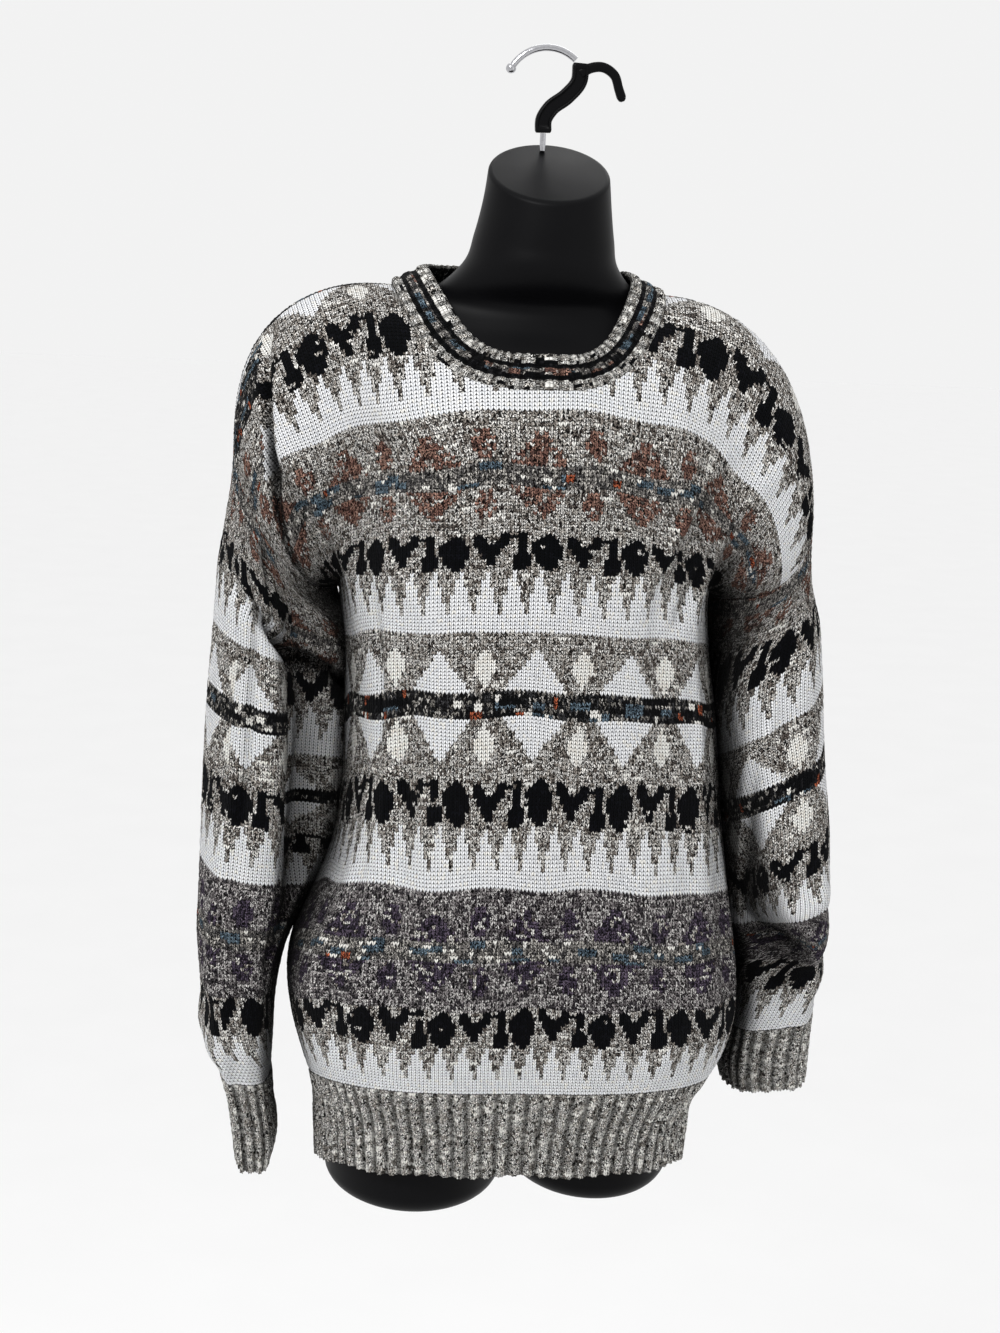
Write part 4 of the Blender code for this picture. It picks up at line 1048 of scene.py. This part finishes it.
def hem_rib(name, face, look):
    """Half of the ribbed hem. It draws in, and its edge waves a little with the ribs."""
    columns = RIB_LEGS * HEM_RIBS + 1
    rows = np.linspace(RIB_START, HEM_END, HEM_ROWS + 1)
    down = rows[:, None] + RIB_SLANT * zigzag(columns)[None, :]
    down[0] = RIB_START
    across = np.broadcast_to(np.linspace(-HALF_WIDTH, HALF_WIDTH, columns), down.shape)
    points, normal = cloth_place(across, np.clip(down, RIB_START, HEM_END), face)
    relief = rib_relief(columns, HEM_ROWS + 1, 0.0013, 0.0011)
    rise = smooth_step((rows - RIB_START) / 0.008)[:, None]
    edge = smooth_step((HALF_WIDTH - np.abs(across)) / 0.006)
    relief = relief * blend(0.35, 1.0, rise) * edge
    wave = HEM_WAVE * np.sin(across * 71.0 + 1.0)
    points[..., 2] += wave * (down - RIB_START) / 0.076
    tints = yarn_colours(rib_chart(HEM_ROWS, (columns - 1) // 2))
    return thicken(knit_grid(name, points, normal, tints, look, relief=relief))


def sleeve_curve(side, height):
    """The closed outline of a sleeve at a height, with the share of its length at each point."""
    rows = SLEEVES[side]
    inner, fold, outer, step, front, back = (
        float(smooth_curve(height, rows["height"], rows[name]))
        for name in SLEEVE_SECTION.split()[1:])
    wide = outer - inner
    middle = 0.5 * (front + back) + 0.010
    corner = 0.20 * wide
    anchors = np.array([
        (inner, middle),
        (inner + 0.10 * wide, blend(middle, step, 0.80)),
        (max(fold - FOLD_SOFTNESS, inner + corner), step),
        (max(fold + FOLD_SOFTNESS, inner + corner + 0.008), front),
        (outer - corner, front),
        (outer - 0.04 * wide, blend(front, middle, 0.45)),
        (outer, middle),
        (outer - corner, back),
        (inner + corner, back),
    ])
    before = np.roll(anchors, 1, axis=0)
    after = np.roll(anchors, -1, axis=0)
    beyond = np.roll(anchors, -2, axis=0)
    pieces = []
    for t in np.linspace(0.0, 1.0, 16, endpoint=False):
        pieces.append(0.5 * (2 * anchors + (after - before) * t
                             + (2 * before - 5 * anchors + 4 * after - beyond) * t ** 2
                             + (3 * anchors - before - 3 * after + beyond) * t ** 3))
    dense = np.stack(pieces, axis=1).reshape(-1, 2)
    dense = np.vstack([dense, dense[:1]])
    return dense, running(np.linalg.norm(np.diff(dense, axis=0), axis=1))


def sleeve_row(side, down):
    """Heights of a row of a sleeve at the outer and the inner edge."""
    rows = SLEEVE_ROWS[side]
    return [float(smooth_curve(down, rows["down"], rows[edge])) for edge in ("outer", "inner")]


def sleeve_place(side, downs, around):
    """Points of a sleeve: one row for each length down it, around counted from the underarm."""
    rows = SLEEVE_ROWS[side]
    points = np.zeros(around.shape + (3,))
    share = 0.5 - 0.5 * np.cos(2 * np.pi * around)
    loop = armhole_loop(side, around)
    start = blend(rows["inner"][0], rows["outer"][0], share)
    for r, down in enumerate(downs):
        outer, inner = sleeve_row(side, down)
        tilt = SLEEVE_TILT[side] * smooth_step((down - TILT_STARTS) / 0.08)
        tilt = tilt * smooth_step((TILT_ENDS - down) / 0.12)
        height = blend(inner, outer, share[r]) - tilt * (LEVEL_PLACE - share[r])
        dense, length = sleeve_curve(side, 0.5 * (outer + inner))
        wanted = np.mod(around[r], 1.0) * length[-1]
        wanted = np.where(around[r] >= 1.0, length[-1], wanted)
        x = side * np.interp(wanted, length, dense[:, 0])
        y = np.interp(wanted, length, dense[:, 1])
        section = np.stack([x, y, height], axis=-1)
        hung = loop[r] + UP * (height - start[r])[:, None]
        points[r] = blend(hung, section, smooth_step(down / SLEEVE_BLEND))
    return points - HANG


def grid_normals(points, side):
    """Outward normals of a tube's grid whose first and last columns meet."""
    ring = points[:, :-1]
    across = np.roll(ring, -1, axis=1) - np.roll(ring, 1, axis=1)
    normal = unit(np.cross(across, np.gradient(ring, axis=0)) * -side)
    return np.concatenate([normal, normal[:, :1]], axis=1)


def leg_slants(points, share, flat_rows):
    """Steps along a tube of knitting that slant its legs, but for the rows that stay flat."""
    slant = share * zigzag(points.shape[1])[None, :, None] * np.ones((len(points), 1, 1))
    slant[flat_rows] = 0.0
    return unit(np.gradient(points, axis=0)) * slant


def sleeve_girth(side, down):
    return sleeve_curve(side, 0.5 * sum(sleeve_row(side, down)))[1][-1]


def sleeve_folds(side):
    """The sleeve's folds with their reach round it as a share of its girth."""
    folds = dict(SLEEVE_FOLDS[side])
    girth = sleeve_girth(side, 0.25)
    for size in ("wide", "lean"):
        folds[size] = folds[size] / girth
    return folds


def sleeve(name, side, look):
    """A sleeve, leg by leg. Its stitches run out at the seam under the arm as it narrows."""
    columns = 2 * SLEEVE_STITCHES + 1
    rows = SLEEVE_ROWS_COUNT + 1
    downs = np.linspace(0.0, SLEEVE_LENGTH, rows)
    place = np.arange(columns) - SLEEVE_STITCHES
    around = np.zeros((rows, columns))
    top_girth = SLEEVE_STITCHES * STITCH
    for r, down in enumerate(downs):
        girth = sleeve_girth(side, down) / SLEEVE_STRETCH
        girth = blend(top_girth, girth, smooth_step(down / 0.12))
        half = min(girth / STITCH, SLEEVE_STITCHES)
        around[r] = 0.5 + 0.5 * np.clip(place / half, -1.0, 1.0)
    points = sleeve_place(side, downs, around)
    normal = grid_normals(points, side)
    ends = smooth_step(downs / 0.03) * smooth_step((SLEEVE_LENGTH - downs) / 0.02)
    lift = fold_sum(around, downs[:, None] + 0 * around, sleeve_folds(side)) * ends[:, None]
    points = points + leg_slants(points, 1.0, [0, -1]) + normal * lift[..., None]
    tints = yarn_colours(sleeve_chart(side))
    return knit_grid(name, points, normal, tints, look, closed=True)


def cuff(name, side, look):
    """A ribbed cuff, closed round the wrist."""
    columns = RIB_LEGS * CUFF_RIB_COUNT + 1
    downs = np.linspace(SLEEVE_LENGTH, CUFF_END, CUFF_ROWS + 1)
    around = np.broadcast_to(np.linspace(0.0, 1.0, columns), (CUFF_ROWS + 1, columns))
    points = sleeve_place(side, downs, around)
    normal = grid_normals(points, side)
    relief = rib_relief(columns, CUFF_ROWS + 1, 0.0012, 0.0011)
    relief = relief * blend(0.3, 1.0, smooth_step((downs - SLEEVE_LENGTH) / 0.008))[:, None]
    relief[:, -1] = relief[:, 0]
    points = points + leg_slants(points, RIB_SLANT, [0])
    tints = yarn_colours(rib_chart(CUFF_ROWS, (columns - 1) // 2))
    return thicken(knit_grid(name, points, normal, tints, look, closed=True, relief=relief))


# Neckband: a thick ribbed strip that lies inward from the neckline
BAND_WIDTH = 0.030
BAND_THICK = 0.0050
BAND_START = 0.0012
BAND_RIB_COUNT = 66
BAND_LEGS = 6
BAND_RIB_HEIGHT = 0.0007
BAND_LIFT = table("turn lift", [
    (0.00, 1.60),
    (0.50, 1.20),
    (1.00, 0.65),
    (1.57, 0.45),
    (2.20, 1.00),
    (2.70, 1.90),
    (3.15, 2.30),
])
# Section of the band from its outer edge over the top and under: share of its width
# inward, share of its thickness outward, and its yarn
BAND_SECTION = (
    (0.00, 0.05, "r"), (0.02, 0.55, "r"), (0.07, 0.90, "r"), (0.15, 1.05, "r"), (0.23, 1.00, "r"),
    (0.29, 0.76, "d"), (0.34, 0.80, "d"), (0.40, 0.96, "h"), (0.47, 1.02, "h"), (0.54, 1.00, "h"),
    (0.60, 0.86, "d"), (0.66, 0.72, "d"), (0.71, 0.84, "r"), (0.78, 1.06, "r"), (0.86, 1.12, "r"),
    (0.94, 1.00, "r"), (0.99, 0.72, "r"), (1.00, 0.40, "r"), (0.94, 0.10, "r"), (0.60, 0.00, "r"),
    (0.25, 0.00, "r"),
)


def neckline_point(turn):
    sine = np.sin(turn)
    cosine = np.cos(turn)
    across = NECK_HALF_WIDTH * np.sign(sine) * np.abs(sine) ** NECK_FULLNESS
    depth = np.where(cosine >= 0, NECK_FRONT_DEPTH, NECK_BACK_DEPTH)
    down = depth * np.abs(cosine) ** NECK_FULLNESS
    front = body_plain(across, down, -1)
    back = body_plain(across, down, 1)
    place = np.where((cosine >= 0)[..., None], front, back)
    return place - HANG


def neckband(name, look):
    """The band: three soft ridges round the neck, knitted in ribs across them."""
    count = BAND_RIB_COUNT * BAND_LEGS
    turn = np.arange(count + 1) * 2 * np.pi / count
    edge = neckline_point(turn)
    ring = edge[:-1]
    along = np.roll(ring, -1, axis=0) - np.roll(ring, 1, axis=0)
    along = np.vstack([along, along[:1]])
    along = unit(along)
    level = np.stack([-np.sin(turn), np.cos(turn), 0 * turn], axis=-1)
    from_front = np.abs(np.mod(turn + np.pi, 2 * np.pi) - np.pi)
    lift = smooth_curve(from_front, BAND_LIFT["turn"], BAND_LIFT["lift"])
    inward = level + UP * lift[:, None]
    inward -= along * np.sum(inward * along, axis=1, keepdims=True)
    inward = unit(inward)
    out = np.cross(along, inward)
    section = list(BAND_SECTION) + [BAND_SECTION[0]]
    rows = len(section)
    share, high = (np.array([row[k] for row in section])[:, None, None] for k in (0, 1))
    phase = (np.arange(count + 1) % BAND_LEGS) / BAND_LEGS
    ribs = BAND_RIB_HEIGHT * np.sin(2 * np.pi * phase)[None, :, None]
    ribs = ribs * smooth_step((high - 0.3) / 0.5)
    uneven = STITCH_UNEVENNESS * dice.standard_normal((rows, count + 1, 1))
    uneven[:, -1] = uneven[:, 0]
    uneven[-1] = uneven[0]
    rise = high * BAND_THICK - 0.5 * BAND_THICK + ribs + uneven
    points = edge[None] + inward[None] * (BAND_START + share * BAND_WIDTH) + out[None] * rise
    points = pulled_neck(points)
    normal = unit(np.cross(np.gradient(points, axis=1), np.gradient(points, axis=0)))
    chart = np.array([[row[2]] * (count // 2) for row in section[:-1]])
    middle = blank(rows - 1, count // 2, "f")
    middle = fleck(middle, "f", (("l", 0.22, 4, 2), ("b", 0.20, 4, 2), ("d", 0.30, 4, 2)))
    chart = np.where(chart == "h", middle, chart)
    chart = fleck(chart, "r", (("v", 0.08, 1, 1), ("d", 0.05, 1, 1)))
    return knit_grid(name, points, normal, yarn_colours(chart), look, closed=True, tube=True,
                     relief=np.zeros((rows, count + 1)))


def smooth_rings(name, rings, look):
    """A round body through rings of points, closed at both ends."""
    mesh = bmesh.new()
    made = [[mesh.verts.new(Vector(point)) for point in ring] for ring in rings]
    for ring, after in zip(made, made[1:]):
        for k in range(len(ring)):
            n = (k + 1) % len(ring)
            mesh.faces.new([ring[k], ring[n], after[n], after[k]])
    for ring in (made[0], made[-1]):
        mesh.faces.new(ring)
    bmesh.ops.recalc_face_normals(mesh, faces=mesh.faces[:])
    data = bpy.data.meshes.new(name)
    mesh.to_mesh(data)
    mesh.free()
    data.shade_smooth()
    data.set_sharp_from_angle(angle=np.radians(50.0))
    data.materials.append(look)
    return add_object(name, data)


# Torso form rings by height: middle in Y, half width, front and back depths, slope in Y
FORM_RINGS = table("height middle wide front back slope", [
    (-0.0858, -0.030, 0.0450, 0.0435, 0.0435, 0.50),
    (-0.1060, -0.029, 0.0475, 0.045, 0.045, 0.34),
    (-0.1300, -0.027, 0.0520, 0.047, 0.047, 0.16),
    (-0.1490, -0.025, 0.0570, 0.049, 0.048, 0.06),
    (-0.1640, -0.018, 0.0700, 0.050, 0.050, 0.00),
    (-0.1790, -0.010, 0.0930, 0.045, 0.048, 0.00),
    (-0.1960, -0.008, 0.1280, 0.052, 0.055, 0.00),
    (-0.2150, -0.007, 0.1560, 0.068, 0.064, 0.00),
    (-0.2450, -0.006, 0.1680, 0.083, 0.074, 0.00),
    (-0.2850, -0.005, 0.1660, 0.097, 0.083, 0.00),
    (-0.3250, -0.004, 0.1500, 0.106, 0.089, 0.00),
    (-0.3650, -0.003, 0.1330, 0.107, 0.089, 0.00),
    (-0.4100, -0.003, 0.1240, 0.098, 0.086, 0.00),
    (-0.4700, -0.003, 0.1170, 0.086, 0.080, 0.00),
    (-0.5300, -0.003, 0.1150, 0.082, 0.080, 0.00),
    (-0.6000, -0.003, 0.1240, 0.088, 0.088, 0.00),
    (-0.6700, -0.003, 0.1370, 0.095, 0.096, 0.00),
    (-0.7300, -0.003, 0.1420, 0.098, 0.099, 0.00),
    (-0.7800, -0.003, 0.1420, 0.097, 0.098, 0.00),
    (-0.8100, -0.003, 0.1340, 0.090, 0.090, 0.00),
    (-0.8220, -0.003, 0.1120, 0.075, 0.075, 0.00),
])
THIGHS = {
    "right": {"x": -0.0685, "y": -0.007, "wide": 0.0715, "deep": 0.083, "bottom": -0.8850},
    "left": {"x": 0.0750, "y": 0.002, "wide": 0.0670, "deep": 0.082, "bottom": -0.8790},
}
THIGH_TOP = 0.120
THIGH_EDGE = 0.015
THIGH_INSET = 0.0165
FORM_SHIFT = 0.0045
CAP_EDGE = 0.0035
FORM_SIDES = 96


def form_ring(x, y, height, wide, front, back, slope=0.0):
    angle = 2 * np.pi * np.arange(FORM_SIDES) / FORM_SIDES
    beside = np.where(np.sin(angle) > 0, back, front) * np.sin(angle)
    return np.stack([x + wide * np.cos(angle), y + beside, height + slope * beside], axis=-1)


def torso_form(look):
    """The moulded body with its sloping neck cap, and its two thigh stumps."""
    heights = np.concatenate([np.linspace(-0.0858, -0.25, 56), np.linspace(-0.26, -0.822, 60)])
    parts = [smooth_curve(heights, FORM_RINGS["height"], FORM_RINGS[name])
             for name in ("middle", "wide", "front", "back", "slope")]
    shift = FORM_SHIFT * smooth_step((heights + 0.20) / 0.11)

    def ring(k, rise, inset):
        middle, wide, front, back, slope = (part[k] for part in parts)
        return form_ring(shift[k], middle, heights[k] + rise, wide - inset, front - inset,
                         back - inset, slope)

    rings = [ring(0, CAP_EDGE * 0.8 * np.cos(turn), CAP_EDGE * (1.0 - np.sin(turn)))
             for turn in np.linspace(0.0, np.pi / 2, 7)[:-1]]
    rings += [ring(k, 0.0, 0.0) for k in range(len(heights))]
    pieces = [smooth_rings("form_torso", np.array(rings) - HANG, look)]
    for label, size in THIGHS.items():
        sizes = []
        for over in np.linspace(THIGH_TOP, THIGH_EDGE, 18):
            share = blend(1.0, 0.97, smooth_step((over - 0.045) / 0.075))
            sizes.append((over, size["wide"] * share, size["deep"] * share))
        for turn in np.linspace(0.0, np.pi / 2, 12)[1:]:
            inset = THIGH_INSET * (1.0 - np.cos(turn))
            sizes.append((THIGH_EDGE * (1.0 - np.sin(turn)), size["wide"] - inset,
                          size["deep"] - inset))
        rings = [form_ring(size["x"], size["y"], size["bottom"] + over, wide, deep, deep)
                 for over, wide, deep in sizes]
        pieces.append(smooth_rings("form_thigh_" + label, np.array(rings) - HANG, look))
    return pieces


# Hook, rod and grip
WIRE_RADIUS = 0.0025
HOOK_RADIUS = 0.0310
HOOK_SHIFT = 0.0030
HOOK_START_ANGLE = 151.0
HOOK_END_ANGLE = 48.5
BALL_RADIUS = 0.0038
ROD_X = 0.0018
ROD_TOP = -0.0589
ROD_FOOT = -0.0716
ROD_RADIUS = 0.0022
GRIP_WIDTH = 0.0120
GRIP_DEPTH = 0.0080
GRIP_CHANNEL = 0.0016
GRIP_RIM = 0.0022
GRIP_LINE = ((0.0275, -0.0075), (0.0266, -0.0207), (0.0180, -0.0316), (0.0063, -0.0411),
             (0.0018, -0.0489), (0.0018, -0.0586))
SIDE_HOOK_WIDTH = 0.0078
SIDE_HOOK_DEPTH = 0.0066
SIDE_HOOK_LINE = ((0.0275, -0.0150), (0.0350, -0.0106), (0.0440, -0.0096), (0.0530, -0.0150),
                  (0.0568, -0.0247), (0.0602, -0.0335))


def curve_through(points, count):
    points = np.array(points)
    at = running(np.linalg.norm(np.diff(points, axis=0), axis=1))
    wanted = np.linspace(0.0, at[-1], count)
    return np.stack([smooth_curve(wanted, at, points[:, 0]),
                     smooth_curve(wanted, at, points[:, 1])], axis=-1)


def sweep(name, line, sections, look):
    """A bar that carries its sections, given as (sideways, Y) pairs, along a line in XZ."""
    line = np.array(line)
    rings = []
    for point, direction, section in zip(line, unit(np.gradient(line, axis=0)), sections):
        section = np.array(section)
        beside = np.array([-direction[1], direction[0]])
        xz = point + section[:, :1] * beside
        rings.append(np.stack([xz[:, 0], section[:, 1], xz[:, 1]], axis=-1))
    return smooth_rings(name, rings, look)


def round_section(radius, sides=28):
    angle = 2 * np.pi * np.arange(sides) / sides
    return np.stack([radius * np.cos(angle), radius * np.sin(angle)], axis=-1)


def wire_hook(look):
    """Chrome hook: a small ball, then the wire's arc over the crown to the grip."""
    start = np.radians(HOOK_START_ANGLE)
    angles = []
    radii = []
    for k in range(12):
        turn = -BALL_RADIUS + BALL_RADIUS * 1.75 * k / 12
        angles.append(start - turn / HOOK_RADIUS)
        radii.append(max(np.sqrt(max(BALL_RADIUS ** 2 - turn ** 2, 0.0)), 0.0006))
    rest = np.linspace(angles[-1] - 0.01, np.radians(HOOK_END_ANGLE), 60)
    angles += list(rest)
    radii += [WIRE_RADIUS] * len(rest)
    angles = np.array(angles)
    line = np.stack([HOOK_SHIFT + HOOK_RADIUS * np.cos(angles),
                     WIRE_RADIUS - HOOK_RADIUS + HOOK_RADIUS * np.sin(angles)], axis=-1)
    return sweep("wire_hook", line, [round_section(radius) for radius in radii], look)


def rod(look):
    line = [(ROD_X, z) for z in np.linspace(ROD_TOP, ROD_FOOT, 4)]
    return sweep("wire_rod", line, [round_section(ROD_RADIUS)] * 4, look)


def channel_section(width, depth, soft, sunk):
    """Half outline of a flat bar with soft edges and a channel, mirrored to the back face."""
    half = 0.5 * width
    rim = half - GRIP_RIM
    face = [(-half, -0.5 * depth + soft), (-half + 0.3 * soft, -0.5 * depth + 0.3 * soft),
            (-half + soft, -0.5 * depth), (-rim - 0.0004, -0.5 * depth),
            (-rim, -0.5 * depth + 0.2 * sunk), (-rim + 0.0004, -0.5 * depth + sunk),
            (rim - 0.0004, -0.5 * depth + sunk), (rim, -0.5 * depth + 0.2 * sunk),
            (rim + 0.0004, -0.5 * depth), (half - soft, -0.5 * depth),
            (half - 0.3 * soft, -0.5 * depth + 0.3 * soft), (half, -0.5 * depth + soft)]
    return face + [(-x, -y) for x, y in face]


def grip(look):
    """The black plastic grip, a flat S with a channel down each face."""
    line = curve_through(GRIP_LINE, 64)
    sections = []
    for share in np.linspace(0.0, 1.0, len(line)):
        inside = smooth_step((share - 0.05) / 0.03) * smooth_step((0.95 - share) / 0.03)
        end = smooth_step(min(share, 1.0 - share) / 0.025)
        sections.append(channel_section(GRIP_WIDTH * blend(0.86, 1.0, end),
                                        GRIP_DEPTH * blend(0.86, 1.0, end), 0.0014,
                                        GRIP_CHANNEL * inside))
    return sweep("grip_bar", line, sections, look)


def side_hook(look):
    line = curve_through(SIDE_HOOK_LINE, 48)
    shares = np.linspace(0.0, 1.0, len(line))
    widths = np.interp(shares, [0.0, 0.75, 0.93, 0.985, 1.0], [1.0, 0.86, 0.90, 0.62, 0.30])
    angle = 2 * np.pi * (np.arange(28) + 0.5) / 28
    power = 0.62
    square = np.stack([np.sign(np.cos(angle)) * np.abs(np.cos(angle)) ** power,
                       np.sign(np.sin(angle)) * np.abs(np.sin(angle)) ** power], axis=-1)
    sections = [square * np.array([0.5 * SIDE_HOOK_WIDTH * width,
                                   0.5 * SIDE_HOOK_DEPTH * blend(0.6, 1.0, width)])
                for width in widths]
    return sweep("grip_side_hook", line, sections, look)


# Camera as the photograph shows the sweater, lights and floor
CAMERA_TURN = -5.7
CAMERA_RISE = 12.2
CAMERA_ROLL = 2.5
CAMERA_DISTANCE = 1.6
CAMERA_TARGET = Vector((-0.018, -0.05, -0.4545))
FOCAL_SHARE = 2107.0 / 1333.0
SENSOR = 36.0


def add_camera():
    turn, rise, roll = (math.radians(value) for value in (CAMERA_TURN, CAMERA_RISE, CAMERA_ROLL))
    back = Vector((math.sin(turn) * math.cos(rise), -math.cos(turn) * math.cos(rise),
                   math.sin(rise)))
    right = (-back).cross(Vector((0.0, 0.0, 1.0))).normalized()
    up = right.cross(-back)
    side = math.cos(roll) * right + math.sin(roll) * up
    above = -math.sin(roll) * right + math.cos(roll) * up
    data = bpy.data.cameras.new("camera")
    data.sensor_fit = "VERTICAL"
    data.sensor_width = SENSOR
    data.sensor_height = SENSOR
    data.lens = FOCAL_SHARE * SENSOR
    data.clip_end = 100.0
    item = add_object("camera", data)
    place = CAMERA_TARGET + back * CAMERA_DISTANCE
    item.matrix_world = Matrix((
        (side.x, above.x, back.x, place.x),
        (side.y, above.y, back.y, place.y),
        (side.z, above.z, back.z, place.z),
        (0.0, 0.0, 0.0, 1.0)))
    bpy.context.scene.camera = item


def area_light(name, place, target, size, watts):
    data = bpy.data.lights.new(name, "AREA")
    data.shape = "DISK"
    data.size = size
    data.energy = watts
    item = add_object(name, data)
    item.location = place
    item.rotation_euler = (Vector(target) - Vector(place)).to_track_quat("-Z", "Y").to_euler()


# Lamps: name, place, aim, size and watts. Then the floor's height and half width
LAMPS = (
    ("key", (-1.1, -2.0, 1.5), (0.0, 0.0, -0.4), 0.9, 54.0),
    ("fill", (1.9, -1.9, 0.1), (0.0, 0.0, -0.45), 1.8, 3.0),
    ("rim", (0.6, 2.4, 1.4), (0.0, 0.0, -0.4), 1.6, 16.0),
)
FLOOR_HEIGHT = -3.2
FLOOR_REACH = 40.0


def studio():
    """A pale surround, brighter towards the front and overhead, three lamps and a floor far below."""
    bpy.context.scene.view_settings.view_transform = "Standard"
    world = bpy.data.worlds.new("studio")
    world.use_nodes = True
    tree = world.node_tree
    spread = node(tree, "TexCoord").outputs["Generated"]
    split = node(tree, "SeparateXYZ", {0: spread}).outputs
    rise = math_node(tree, "MULTIPLY_ADD", split["Z"], 0.9, split["Y"])
    tone = math_node(tree, "ADD", map_range(tree, rise, -0.9, 0.1, 0.74, 0.89),
                     map_range(tree, split["Z"], 0.35, 0.80, 0.0, 0.09))
    fill(tree, tree.nodes["Background"], {"Color": tone})
    bpy.context.scene.world = world
    for lamp in LAMPS:
        area_light(*lamp)
    floor = bpy.data.meshes.new("floor")
    edge = FLOOR_REACH
    floor.from_pydata([(-edge, -edge, 0), (edge, -edge, 0), (edge, edge, 0), (-edge, edge, 0)],
                      [], [(0, 1, 2, 3)])
    item = add_object("floor", floor)
    item.location.z = FLOOR_HEIGHT
    pale, tree = new_material("floor_pale", 0.85)
    cloud = noise(tree, node(tree, "TexCoord").outputs["Object"], 3.0, 2.0)
    fill(tree, shader_of(tree), {"Base Color": two_tones(tree, cloud, (0.93,) * 3, (0.96,) * 3)})
    floor.materials.append(pale)


def main():
    knit = knit_material("knit", 0.85, 0.33)
    rib = knit_material("knit_rib", 0.85, 0.12, RIB_LEGS / 2)
    band = knit_material("knit_band", 0.85, 0.12, BAND_LEGS / 2)
    plastic = plastic_material("form_plastic", 0.42, 0.10)
    grip_plastic = plastic_material("grip_plastic", 0.33, 0.05)
    chrome = chrome_material("hook_chrome")
    front = panel("knit_front", -1, knit)
    back = panel("knit_back", 1, knit)
    sleeve_right = sleeve("knit_sleeve_right", -1, knit)
    sleeve_left = sleeve("knit_sleeve_left", 1, knit)
    hem_front = hem_rib("rib_hem_front", -1, rib)
    hem_back = hem_rib("rib_hem_back", 1, rib)
    cuff_right = cuff("rib_cuff_right", -1, rib)
    cuff_left = cuff("rib_cuff_left", 1, rib)
    collar = neckband("band_neck", band)
    form = torso_form(plastic)
    hook = wire_hook(chrome)
    stem = rod(chrome)
    bar = grip(grip_plastic)
    arm = side_hook(grip_plastic)
    stands_for = (
        (front, "front", "knit"), (back, "back", "knit"),
        (sleeve_right, "sleeve_right", "knit"), (sleeve_left, "sleeve_left", "knit"),
        (hem_front, "hem_rib_front", "rib"), (hem_back, "hem_rib_back", "rib"),
        (cuff_right, "cuff_right", "rib"), (cuff_left, "cuff_left", "rib"),
        (collar, "neckband", "band"), (form[0], "torso_form", "form"),
        (form[1], "torso_form", "form"), (form[2], "torso_form", "form"),
        (hook, "hook_wire", "wire"), (stem, "hook_rod", "wire"),
        (bar, "hook_grip", "grip"), (arm, "hook_grip", "grip"),
    )
    for piece, cad_node, slot_name in stands_for:
        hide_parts(cad_node)
        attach(piece, "root")
    studio()
    add_camera()


main()
